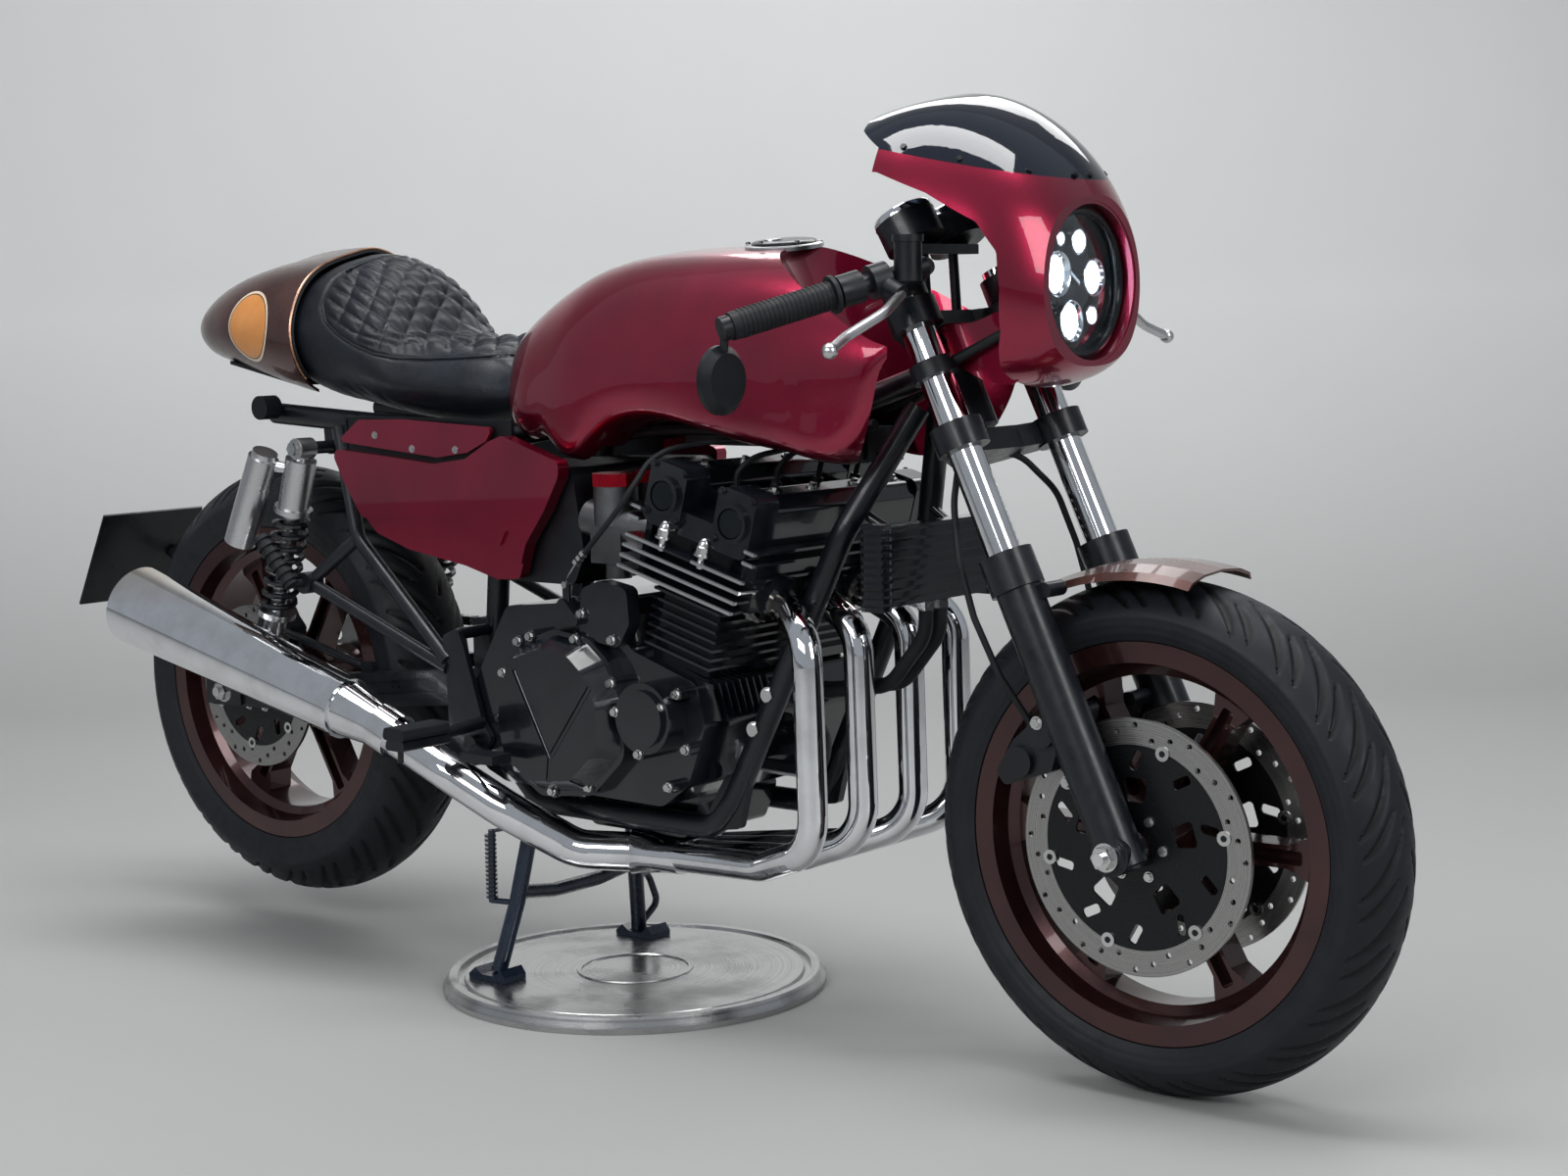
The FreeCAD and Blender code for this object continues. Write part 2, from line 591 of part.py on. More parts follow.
def bars():
    """Clip-on bars with lever perches, switches and fluid pot, grips, levers and bar-end mirrors."""
    inner, outer = V(607, -142, 957), V(489, -348, 893)
    d = outer.sub(inner).normalize()
    clamp = in_fork(rod(V(0, -FORK_HALF, 0), V(0, -FORK_HALF, 30), STANCHION_R + CLAMP_WALL), UPPER_YOKE_Z + 30)
    arm = rod(fork_point(UPPER_YOKE_Z + 46, -FORK_HALF), inner, 11)
    pivot = V(612, -196, 925)
    lever = fuse([pipe([pivot, V(628, -250, 905), V(620, -310, 880), V(629, -349, 866)], 6, 60),
                  Part.makeSphere(9, V(629, -349, 866))])
    perch = [rod(inner + d * 50, inner + d * 72, 20), rod(inner + d * 61, pivot, 11),
             rod(inner + d * 84, inner + d * 112, 19)]
    weight = rod(outer, outer + d * 12, 14)
    bar = fuse([clamp, arm, rod(inner, outer, 11), weight] + perch)
    bar = main_solid(bar.cut(leg_rod(700, 1100, -FORK_HALF, STANCHION_R)).cut(lever))
    pot = fuse([rod(V(604, -172, 940), V(604, -172, 988), 16), rod(V(604, -172, 984), V(604, -172, 992), 18)])
    grip_a = outer - d * 130
    grip = fuse([rod(grip_a, outer, 16), rod(grip_a, grip_a + d * 5, 22)]).cut(rod(inner, outer, 11))
    parts["clip_on_bars"] = Part.makeCompound([fuse([bar, pot.cut(lever)]), mirror(bar)])
    parts["grips"] = pair(grip)
    parts["levers"] = pair(lever)
    glass = rod(V(481, -352, 834), V(475, -352, 834), 39)
    back = Part.makeCone(39, 30, 8, V(481, -352, 834), V(1, 0, 0))
    stalk = rod(outer + d * 6, V(478, -352, 834), 5)
    parts["mirrors"] = pair(fuse([glass, back, stalk]).cut(fuse([bar, weight, grip])))


def tank():
    """Fuel tank: long body with a tunnel under it and a hollow front for the turning fork."""
    secs = [(-138, 50, 782, 825, 874), (-122, 84, 764, 812, 888), (-96, 110, 755, 805, 906),
            (-50, 128, 745, 806, 934), (0, 139, 732, 810, 959), (36, 145, 724, 815, 972),
            (66, 147, 745, 822, 979), (99, 148, 766, 830, 984), (172, 151, 777, 840, 988),
            (276, 155, 759, 850, 988), (359, 158, 745, 852, 983), (440, 159, 731, 850, 969),
            (490, 157, 741, 850, 951), (530, 151, 790, 855, 930), (552, 144, 836, 865, 905)]
    t = Part.makeLoft([tank_ring(*row) for row in secs], True, False)
    tunnel = fuse([box(-200, 600, -62, 62, 600, 815), box(-200, 62, -104, 104, 600, 790)])
    reach = math.hypot(FORK_HALF, STEM_OFFSET) + STANCHION_R + CLAMP_WALL + SWEEP_GAP
    sweep = rod(stem_point(600), stem_point(1100), reach)
    parts["fuel_tank"] = main_solid(t.cut(tunnel).cut(sweep).cut(parts["frame_spine"]))
    grown = [(x, w + SEAT_GAP, low - SEAT_GAP, wide, high + SEAT_GAP) for x, w, low, wide, high in secs]
    grown[0] = (grown[0][0] - SEAT_GAP,) + grown[0][1:]
    return Part.makeLoft([tank_ring(*row) for row in grown], True, False)


def seat_and_tail(tank_room):
    """Seat with its rear hump, the tail cowl around the hump, its tray and the rear lamps."""
    seat = body([(-70, 96, 772, 805, 870), (-110, 106, 767, 805, 872), (-160, 117, 764, 806, 868),
                 (-282, 128, 769, 810, 868), (-320, 130, 774, 814, 886), (-354, 131, 779, 820, 936),
                 (-386, 132, 784, 828, 969), (-434, 132, 791, 842, 988), (-488, 132, 800, 854, 995),
                 (-540, 128, 815, 864, 992)])
    outer = [(-440, 146, 786, 852, 1004), (-530, 144, 800, 862, 1004), (-600, 138, 815, 874, 998),
             (-660, 128, 828, 884, 985), (-710, 114, 838, 892, 966), (-752, 96, 845, 896, 943),
             (-777, 78, 850, 893, 925)]
    inner = [(x, w, lo, wd, hi) for x, w, lo, wd, hi in outer]
    inner[-1] = (outer[-1][0] + SHELL_T,) + outer[-1][1:]
    cowl = body(outer).cut(body(inner, -SHELL_T))
    front = slab([(COWL_FRONT_X - 4, 700), (COWL_FRONT_X + 4, 850), (COWL_FRONT_X - 6, 1010),
                  (COWL_FRONT_X - 6, 1100), (-200, 1100), (-200, 700)], -300, 300, 20)
    under = box(-692, -480, -TRAY_HALF, TRAY_HALF, 760, 850)
    parts["tail_cowl"] = main_solid(cowl.cut(front).cut(under))
    parts["seat"] = seat.cut(tank_room)
    parts["under_tray"] = slab([(-541, 811), (-541, 816), (-600, 828), (-690, 846), (-690, 841), (-600, 823)],
                               -TRAY_HALF + FIT, TRAY_HALF - FIT)
    tail = outer[-1][0]
    lamp = slab([(tail, 874), (tail, 908), (tail - 8, 904), (tail - 8, 878)], -46, 46)
    pods = [fuse([rod(V(-560, s * 124, 781), V(-560, s * 152, 781), 17),
                  rod(V(-560, s * 100, 776), V(-560, s * 126, 780), 6)]).cut(parts["frame_spine"]) for s in (-1, 1)]
    parts["rear_lamps"] = Part.makeCompound([lamp] + [main_solid(pod) for pod in pods])


def side_covers():
    """Side covers on pegs at the air box, with a stepped lower panel; the plates above sit on the rails."""
    line = [(-395, 728), (-272, 719), (-190, 712), (-129, 720), (-84, 744), (-60, 752), (42, 720), (40, 700),
            (14, 657), (-21, 612), (-37, 566), (-78, 563), (-137, 578), (-247, 595), (-309, 614), (-340, 642),
            (-370, 684)]
    y = SIDE_COVER_Y
    cover = slab(line, -y, -y + SIDE_COVER_T, 10)
    step = slab([(-340, 634), (-230, 640), (-130, 640), (-96, 608), (-70, 606), (-50, 640), (-20, 560),
                 (-400, 560)], -y - 1, -y + 4, 8)
    pegs = [rod(V(x, -y + SIDE_COVER_T - 2, z), V(x, -AIR_BOX_HALF - FIT, z), COVER_PEG_R)
            for x, z in ((-60, 690), (6, 672))]
    cover = fuse([cover.cut(step)] + pegs)
    plate = slab([(-385, 740), (-344, 768), (-257, 770), (-84, 762), (-96, 744), (-132, 728), (-190, 720),
                  (-272, 727), (-372, 736)], -y + 8, -y + 14, 6).cut(cover)
    posts = [rod(V(x, -y + 12, z), V(x, -RAIL_Y, z), COVER_PEG_R) for x, z in ((-150, 747), (-330, 757))]
    plate = main_solid(fuse([plate] + posts).cut(parts["frame_spine"]))
    parts["side_covers"] = Part.makeCompound([cover, plate, mirror(cover), mirror(plate)])


def frame():
    """Head tube, rails, downtubes with cradle, pivot plates and the lugs that carry both stands."""
    head = rod(stem_point(LOWER_YOKE_Z + YOKE_T / 2 + 5), stem_point(UPPER_YOKE_Z - 5), HEAD_TUBE_R)
    bore = rod(stem_point(LOWER_YOKE_Z - 60), stem_point(UPPER_YOKE_Z + 80), STEM_R + STEM_GAP)
    neck = stem_point(LOWER_YOKE_Z + 62.0)
    rails = [pipe([neck + V(-48, s * 22, 19), V(420, s * 44, RAIL_Z + 8), V(60, s * 44, RAIL_Z),
                   V(-110, s * RAIL_Y, 745), V(-585, s * RAIL_Y, 771)], TUBE_R, 90) for s in (-1, 1)]
    mounts = []
    for s in (-1, 1):
        web = slab([(-476, 715), (-480, 776), (-430, 776), (-444, 715)], min(s * 92, s * 104), max(s * 92, s * 104), 8)
        pin = rod(V(SHOCK_TOP.x, s * 98, SHOCK_TOP.z), V(SHOCK_TOP.x, s * (SHOCK_TOP.y - 14), SHOCK_TOP.z), 9)
        mounts.append(fuse([web, pin]))
    parts["frame_spine"] = fuse([head] + rails + mounts).cut(bore)
    downs = []
    for s in (-1, 1):
        yc = RIGHT_PIVOT_Y if s < 0 else LEFT_PIVOT_Y
        tube = pipe([neck + V(-48, s * 22, -15), V(440, s * 88, 640), V(272, s * 100, 300),
                     V(240, s * 100, CRADLE_Z), V(-70, s * 100, CRADLE_Z), V(PIVOT.x - 2, s * yc, 330),
                     V(PIVOT.x - 2, s * yc, 480), V(-122, s * RAIL_Y, 748)], TUBE_R, 60)
        low, high = min(s * (yc - 8), s * (yc + 8)), max(s * (yc - 8), s * (yc + 8))
        plate = slab([(-190, 340), (-190, 500), (-128, 500), (-128, 340)], low, high, 10)
        gusset = slab([(214, 252), (282, 262), (300, 330), (262, 330)], min(s * 94, s * 106), max(s * 94, s * 106), 8)
        hole = rod(V(PIVOT.x, -200, PIVOT.z), V(PIVOT.x, 200, PIVOT.z), 11)
        ear = slab([(-110, 208), (-110, 285), (-74, 285), (-74, 208)], min(s * 72, s * 82), max(s * 72, s * 82), 8)
        root = box(-108, -76, min(s * 72, s * 94), max(s * 72, s * 94), 246, 283)
        pin = rod(V(STAND_PIVOT.x, s * 74, STAND_PIVOT.z), V(STAND_PIVOT.x, s * 118, STAND_PIVOT.z),
                  STAND_PIN_R)
        solids = [tube, plate, gusset, ear, root, pin]
        if s > 0:
            p = SIDE_STAND_PIVOT
            solids += [rod(V(p.x, 100, p.z), V(p.x, 152, p.z), STAND_PIN_R), box(p.x - 14, p.x + 14, 96, 118, 232, 262)]
        downs.append(main_solid(fuse(solids).cut(hole).cut(parts["frame_spine"])))
    parts["frame_cradle"] = Part.makeCompound(downs)


def struts():
    """Rear triangles from the seat rails to the hangers, with the eyes of the rear rests."""
    tri = []
    w = CASE_HALF + 7
    for s in (-1, 1):
        a = V(-430, s * 118, 752)
        main = pipe([a, V(-362, s * 150, 604), V(-166, s * w, 450)], 10, 60)
        strut = rod(V(-362, s * 150, 604), V(-440, s * w, 540), 9)
        low = rod(V(-440, s * w, 540), V(-166, s * w, 440), 9)
        eye = rod(V(-440, s * (w - 12), 540), V(-440, s * (w + 14), 540), 15)
        tri.append(main_solid(fuse([main, strut, low, eye]).cut(parts["frame_spine"]).cut(parts["rest_hangers"])))
    parts["subframe_struts"] = Part.makeCompound(tri)


def engine():
    """Crankcase, side covers, finned barrels and head, cam covers."""
    case = slab([(-112, 312), (-120, 430), (-60, 530), (100, 545), (162, 486), (268, 452), (280, 400),
                 (250, 322), (206, 292), (-70, 296)], -CASE_HALF, CASE_HALF, 20)
    case = case.cut(box(-200, -4, 78, CASE_HALF + 20, 340, 500))
    sump = slab([(-20, 300), (0, 232), (170, 232), (200, 300)], -78, 78, 16)
    ribs = [slab([(262, 404), (256, 456), (284, 452), (298, 408)], y, y + 3) for y in range(-156, -40, 13)]
    filter_can = fuse([rod(V(250, 0, 352), V(318, 0, 352), 38), rod(V(318, 0, 352), V(324, 0, 352), 30)])
    leaf = slab([(84, 500), (88, 562), (120, 574), (166, 566), (170, 522), (150, 490)], -CASE_HALF - 14,
                -CASE_HALF + 8, 12)
    drive = sprocket(DRIVE, DRIVE_SPROCKET_R, SPROCKET_Y, SPROCKET_T, 10)
    shaft = rod(V(DRIVE.x, 60, DRIVE.z), V(DRIVE.x, SPROCKET_Y + 14, DRIVE.z), 13)
    parts["crankcase"] = fuse([case, sump, filter_can, leaf, drive, shaft] + ribs)
    shield = [(-28, 484), (-50, 430), (-56, 376), (-42, 322), (14, 288), (104, 298), (160, 350), (164, 424),
              (134, 476), (104, 500), (44, 508)]
    step = COVER_DEPTH * 0.4
    flange = slab(shield, -CASE_HALF - step, -CASE_HALF, 26)
    dome = tapered([(x * 0.94 + 3.1, z * 0.94 + 24) for x, z in shield], -CASE_HALF - step,
                   -CASE_HALF - COVER_DEPTH, 24, 0.16)
    clutch = fuse([flange, dome])
    hub = V(58, 0, 346)
    face = -CASE_HALF - COVER_DEPTH
    grooves = [rod(V(x, face, z), V(hub.x, face, hub.z), 4) for x, z in ((-2, 456), (138, 452), (52, 298))]
    clutch = main_solid(clutch.cut(fuse(grooves)).cut(parts["crankcase"]))
    arm = fuse([slab([(30, 512), (62, 552), (98, 516)], -CASE_HALF - 24, -CASE_HALF - 2, 6),
                rod(V(64, -CASE_HALF - 14, 540), V(64, -CASE_HALF - 14, 566), 6)])
    arm = arm.cut(parts["crankcase"])
    pulse = fuse([rod(V(206, -CASE_HALF - 34, 408), V(206, -CASE_HALF, 408), 45),
                  rod(V(206, -CASE_HALF - 40, 408), V(206, -CASE_HALF - 30, 408), 36)]).cut(clutch)
    parts["right_covers"] = Part.makeCompound([fuse([clutch, arm]), main_solid(pulse)])
    alt = fuse([rod(V(196, CASE_HALF, 404), V(196, CASE_HALF + 38, 404), 64),
                rod(V(196, CASE_HALF + 38, 404), V(196, CASE_HALF + 50, 404), 50)])
    line = [(-116, 350), (-112, 470), (-30, 500), (-4, 480), (-4, 340), (-40, 326)]
    sprk = slab(line, SPROCKET_Y + 30, CASE_HALF - 7, 16).cut(parts["crankcase"])
    parts["left_covers"] = Part.makeCompound([alt, main_solid(sprk)])
    half = BARREL_HALF
    core = box(-46, 48, -half + 14, half - 14, 0.5, BARREL_H)
    fins = [box(-54, 56, -half, half, 14 + i * BARREL_FIN_PITCH, 14 + i * BARREL_FIN_PITCH + FIN_T)
            for i in range(BARREL_FINS)]
    parts["barrels"] = main_solid(in_cylinder(fuse([core] + fins)).cut(parts["crankcase"]))
    head_and_cams()


def head_and_cams():
    """Cylinder head with long bright fins, and the cam cover with its rounded ends."""
    top = BARREL_H
    core = box(-62, 96, -BARREL_HALF, BARREL_HALF, top, top + HEAD_H)
    fins = []
    for i in range(HEAD_FINS):
        b = top + 3 + i * HEAD_FIN_PITCH
        if b < top + HEAD_H - 8:
            fins.append(box(-82 + i * 1.5, 108 + i * 3, -HEAD_HALF, HEAD_HALF, b, b + FIN_T))
    lift = top + HEAD_H
    for i in range(2):
        b = lift + 2 + i * HEAD_FIN_PITCH
        for a0, a1 in ((-84, -64), (107, 124)):
            fins.append(box(a0, a1, -HEAD_HALF + 4, HEAD_HALF - 4, b, b + FIN_T))
    webs = [box(a0, a1, -HEAD_HALF + 30, HEAD_HALF - 30, top + 3, lift + HEAD_FIN_PITCH + 4)
            for a0, a1 in ((-72, -62), (96, 112))]
    spouts = [rod(V(80, y, top + 30), V(122, y, top + 22), HEADER_R + 8) for y in PORTS]
    parts["cylinder_head"] = in_cylinder(fuse([core] + fins + webs + spouts))
    dome = [slab([(a - 29, lift), (a - 29, lift + 62), (a - 16, lift + 78), (a + 16, lift + 78), (a + 29, lift + 62),
                  (a + 29, lift)], -BARREL_HALF + 6, BARREL_HALF - 6, 10) for a in CAM_A]
    valley = box(CAM_A[0], CAM_A[1], -BARREL_HALF + 6, BARREL_HALF - 6, lift, lift + 34)
    ribs = [box(CAM_A[0], CAM_A[1], y - 2, y + 2, lift + 30, lift + 52) for y in range(-120, 121, 40)]
    ends = []
    for a in CAM_A:
        for s in (-1, 1):
            lid = slab([(a - 30, lift + 2), (a - 30, lift + 82), (a + 30, lift + 82), (a + 30, lift + 2)],
                       min(s * 140, s * 184), max(s * 140, s * 184), 14)
            boss = rod(V(a, s * 184, lift + 42), V(a, s * 190, lift + 42), 24)
            ends += [lid, boss.cut(rod(V(a, s * 186, lift + 42), V(a, s * 200, lift + 42), 19))]
    low = box(-10, 50, -178, 178, lift, lift + 30)
    parts["cam_cover"] = in_cylinder(fuse(dome + [valley, low] + ribs + ends)).cut(parts["cylinder_head"])


def carburettors():
    """Four carburettors between the head and the air box."""
    solids, lids = [], []
    for y in CARB_Y:
        throat = rod(V(60, y, 648), V(206, y, 624), 24)
        boot = rod(V(146, y, 634), V(206, y, 624), 28)
        bowl = box(80, 132, y - 24, y + 24, 592, 640)
        cup = rod(V(106, y, 572), V(106, y, 592), 17)
        top = rod(V(104, y, 640), V(104, y, 690), 29)
        solids.append(main_solid(fuse([throat, boot, bowl, cup, top]).cut(parts["cylinder_head"])))
        corners = [V(104 + 32 * math.cos(math.radians(22.5 + 45 * i)), y + 32 * math.sin(math.radians(22.5 + 45 * i)),
                     690) for i in range(8)]
        lid = Part.Face(Part.makePolygon(corners + [corners[0]])).extrude(V(0, 0, 16))
        lids.append(lid)
    parts["carburettors"] = Part.makeCompound(solids)
    parts["carb_tops"] = Part.makeCompound(lids)
    parts["air_box"] = slab([(-100, 560), (-100, 712), (40, 712), (59, 600), (40, 560)],
                           -AIR_BOX_HALF, AIR_BOX_HALF, 14)


def exhaust():
    """Four headers with port collars, the collector and the tapered silencer."""
    pipes = []
    for y0, y1, y2 in ((-120, -152, -88), (-42, -52, -64), (42, 52, -40), (120, 152, -16)):
        pipes.append(pipe([V(318, y0, 566), V(376, y0, 550), V(432, y1, 520), V(438, y1, 262),
                           V(330, (y1 + y2) / 2, 222), V(150, y2, 208)], HEADER_R, 60))
        lean = V(58, 0, -16).normalize()
        for k in range(3):
            a = V(338, y0, 560.5) + lean * (7.0 * k)
            pipes.append(rod(a, a + lean * 3.5, HEADER_R + 11 - 2 * k))
    parts["headers"] = main_solid(fuse(pipes).cut(parts["cylinder_head"]))
    run = [V(150, -60, 206), V(20, -126, 208), V(-60, -180, 262), V(-138, -203, 306), V(-250, -213, 356)]
    bend = pipe(run, 26, 80)
    wide = path([V(172, y, z) for y, z in ((-110, 187), (-110, 229), (4, 229), (4, 187))], 20, True)
    small = Part.Wire(Part.makeCircle(30, V(84, -88, 207), V(-130, -66, 2)))
    merge = Part.makeLoft([wide, small], True, False)
    parts["collector"] = main_solid(fuse([bend, merge]).cut(parts["headers"]).cut(parts["crankcase"]))
    b, tip = V(-330, -215, 380), V(-767, -220, 493)
    e = run[-1].sub(run[-2]).normalize()
    d = tip.sub(b).normalize()
    sleeve = rod(run[-1] - e * 24, run[-1] + e * 12, 32)
    cone = Part.makeCone(28, 40, b.sub(run[-1]).Length, run[-1], b.sub(run[-1]))
    can = Part.makeCone(41, 58, tip.sub(b).Length + 8, b - d * 8, d)
    weld = rod(b - d * 10, b - d * 4, 43)
    mouth = Part.makeCone(48, 55, 120, tip - d * 119.5, d)
    socket = rod(run[-1] - e * 60, run[-1], 26)
    parts["silencer"] = fuse([sleeve, cone, can, weld]).cut(mouth).cut(socket)


def cooling():
    """Finned oil cooler in front of the downtubes, and its two hoses to the crankcase."""
    core = box(496, 520, -104, 104, 556, 652)
    tanks = [box(494, 524, min(s * 104, s * 124), max(s * 104, s * 124), 552, 656) for s in (-1, 1)]
    fins = [box(492, 526, -104, 104, z, z + 3) for z in range(562, 652, 12)]
    hangs = [rod(V(496, s * 60, 640), V(462, s * 66, 660), 6) for s in (-1, 1)]
    parts["oil_cooler"] = main_solid(fuse([core] + tanks + fins + hangs).cut(parts["frame_cradle"]))
    hose = pipe([V(509, -15, 557), V(508, -15, 512), V(452, -15, 446), V(340, -15, 430), V(268, -15, 428)],
                9, 50)
    parts["oil_hoses"] = pair(main_solid(hose.cut(parts["crankcase"]).cut(parts["oil_cooler"])))


def swingarm():
    """Swingarm with its pivot tube and box-section arms."""
    p = PIVOT
    inner_r, inner_l = RIGHT_PIVOT_Y - TUBE_R - SEAT_GAP, LEFT_PIVOT_Y - TUBE_R - SEAT_GAP
    tube = fuse([rod(V(p.x, -inner_r, p.z), V(p.x, inner_l, p.z), PIVOT_TUBE_R),
                 rod(V(p.x, LEFT_PIVOT_Y + TUBE_R + SEAT_GAP, p.z), V(p.x, ARM_IN + 4, p.z), PIVOT_TUBE_R - 4),
                 rod(V(p.x, -ARM_OUT - 2, p.z), V(p.x, ARM_OUT + 2, p.z), 11)])
    line = [(p.x + 24, p.z + 26), (p.x + 24, p.z - 24), (RA.x + 97, RA.z - 21), (RA.x - 54, RA.z - 26),
            (RA.x - 60, RA.z + 26), (RA.x + 97, RA.z + 25)]
    arm = slab(line, -ARM_OUT, -ARM_IN, 10)
    relief = slab([(p.x - 70, p.z + 6), (p.x - 70, p.z - 14), (RA.x + 120, RA.z - 4), (RA.x + 120, RA.z + 8)],
                  -ARM_OUT - 1, -ARM_OUT + 4, 6)
    end = slab([(RA.x - 56, RA.z - 24), (RA.x - 56, RA.z + 24), (RA.x + 22, RA.z + 22), (RA.x + 22, RA.z - 22)],
               -ARM_OUT - 4, -ARM_OUT, 4)
    arm = fuse([arm.cut(relief), end])
    lugs = [slab([(RA.x + 73, RA.z + 21), (RA.x + 81, RA.z + 63), (RA.x + 113, RA.z + 63), (RA.x + 121, RA.z + 21)],
                 min(s * (ARM_IN + 10), s * (ARM_OUT - 6)), max(s * (ARM_IN + 10), s * (ARM_OUT - 6)), 8)
            for s in (-1, 1)]
    cross = box(p.x - 120, p.x - 70, -ARM_IN - 10, ARM_IN + 10, p.z - 38, p.z - 2)
    axle_hole = rod(V(RA.x, -200, RA.z), V(RA.x, 200, RA.z), AXLE_R)
    rod_lug = slab([(-398, 396), (-404, 424), (-380, 424), (-374, 396)], -ARM_IN - 6, -ARM_IN + 4, 5)
    parts["swingarm"] = fuse([tube, arm, mirror(arm), cross, rod_lug] + lugs).cut(axle_hole)
    parts["rear_axle"] = fuse([rod(V(RA.x, -156, RA.z), V(RA.x, 156, RA.z), AXLE_R),
                               rod(V(RA.x, -158, RA.z), V(RA.x, -ARM_OUT - 4, RA.z), 15),
                               rod(V(RA.x, ARM_OUT + 4, RA.z), V(RA.x, 158, RA.z), 15),
                               rod(V(RA.x, SPROCKET_Y + SPROCKET_T + 3, RA.z), V(RA.x, ARM_IN, RA.z), 14)])
    rear_caliper()


def rear_caliper():
    """Rear caliper on its bracket over the axle, with the rod that stops it turning."""
    line = [(38, 66), (30, 116), (58, 132), (98, 92), (86, 56)]
    block = slab([(RA.x + x, RA.z + z) for x, z in line], -ARM_IN + 2, -80, 8)
    gap = DISC_T / 2 + PAD_GAP
    slot = rod(V(RA.x, -REAR_DISC_Y - gap, RA.z), V(RA.x, -REAR_DISC_Y + gap, RA.z), REAR_DISC_R + 6)
    plate = slab([(RA.x - 20, RA.z - 20), (RA.x - 20, RA.z + 20), (RA.x + 34, RA.z + 112),
                  (RA.x + 90, RA.z + 96), (RA.x + 24, RA.z - 16)], -ARM_IN, -ARM_IN + 8, 12)
    stop = rod(V(RA.x + 84, -ARM_IN + 1, RA.z + 88), V(-392, -ARM_IN + 1, 414), 6)
    hole = rod(V(RA.x, -200, RA.z), V(RA.x, 200, RA.z), AXLE_R)
    piece = fuse([block.cut(slot), plate, stop]).cut(hole).cut(parts["swingarm"]).cut(parts["rear_axle"])
    parts["rear_caliper"] = main_solid(piece)


def coil_spring(length, turns, r, wire_r):
    """Open coil along Z, as short straight stretches of an eight-sided wire."""
    steps = 14 * turns
    rise = (length - 2.0 * wire_r) / steps
    sections = []
    for i in range(steps + 1):
        a = 2.0 * math.pi * i / 14
        out = V(math.cos(a), math.sin(a), 0)
        ring = []
        for k in range(8):
            b = 2.0 * math.pi * k / 8
            ring.append(out * (r + wire_r * math.cos(b)) + V(0, 0, wire_r + rise * i + wire_r * math.sin(b)))
        sections.append(Part.makePolygon(ring + [ring[0]]))
    return Part.makeLoft(sections, True, True)


def shocks():
    """Twin shock absorbers with remote reservoirs and open coil springs."""
    bodies, springs = [], []
    for s in (-1, 1):
        top, low = V(SHOCK_TOP.x, s * SHOCK_TOP.y, SHOCK_TOP.z), V(RA.x + 97.5, s * 150, RA.z + 57)
        d = low.sub(top).normalize()
        length = low.sub(top).Length
        eye = [rod(V(p.x, p.y - 14, p.z), V(p.x, p.y + 14, p.z), 15) for p in (top, low)]
        core = fuse([rod(top + d * 16, top + d * 92, 22), rod(top + d * 88, top + d * 96, 27),
                     rod(top + d * 246, top + d * 254, 27), rod(top + d * 250, top + d * (length - 30), 16),
                     rod(top, low, 11)] + eye)
        neck = rod(V(-468, s * 162, 694), V(-512, s * 190, 706), 8)
        can = fuse([rod(V(-508, s * 190, 714), V(-568, s * 190, 592), 22),
                    rod(V(-504, s * 190, 722), V(-510, s * 190, 710), 18)])
        bodies.append(fuse([core, can, neck]))
        spring = coil_spring(149.4, 8, 22.5, 4.4)
        spring.Placement = FreeCAD.Placement(top + d * 96.3, FreeCAD.Rotation(V(0, 0, 1), d))
        springs.append(spring)
    parts["shocks"] = Part.makeCompound(bodies)
    parts["shock_springs"] = Part.makeCompound(springs)


def rests():
    """Rider's footrests and folded passenger rests on their hangers, brake pedal and gear lever."""
    hangers, rubbers = [], []
    y0 = CASE_HALF + 3
    for s in (-1, 1):
        plate = slab([(-172, 484), (-144, 496), (-132, 470), (-100, 372), (-84, 352), (-98, 334), (-138, 322),
                      (-142, 302), (-164, 302), (-166, 420)], min(s * y0, s * (y0 + 8)), max(s * y0, s * (y0 + 8)), 8)
        stub = rod(V(-105, s * (y0 + 4), 372), V(-105, s * 250, 366), 8)
        base = slab([(-124, 356), (-120, 370), (-90, 370), (-86, 356)], min(s * 246, s * 328),
                    max(s * 246, s * 328), 5)
        feeler = rod(V(-105, s * 318, 340), V(-105, s * 318, 358), 4)
        yc = RIGHT_PIVOT_Y if s < 0 else LEFT_PIVOT_Y
        posts = [rod(V(-150, s * (yc + 4), 313), V(-150, s * y0, 313), 8),
                 rod(V(-154, s * yc, 486), V(-154, s * y0, 486), 8)]
        hangers.append(main_solid(fuse([plate, stub, base, feeler] + posts).cut(parts["frame_cradle"])))
        rubbers.append(slab([(-126, 370), (-122, 386), (-88, 386), (-84, 370)], min(s * 248, s * 330),
                            max(s * 248, s * 330), 5).cut(hangers[-1]))
        eye_face = CASE_HALF + 21
        a, b = V(-444, s * (eye_face + 15), 538), V(-496, s * (eye_face + 24), 602)
        d = b.sub(a).normalize()
        ribs = [rod(a + d * (6 + 12 * k), a + d * (12 + 12 * k), 13) for k in range(7)]
        peg = [rod(a, b, 10), rod(V(-444, s * eye_face, 540), V(-444, s * (eye_face + 15), 540), 6)] + ribs
        rubbers.append(fuse(peg))
    parts["rest_hangers"] = Part.makeCompound(hangers)
    parts["footrests"] = Part.makeCompound(rubbers)


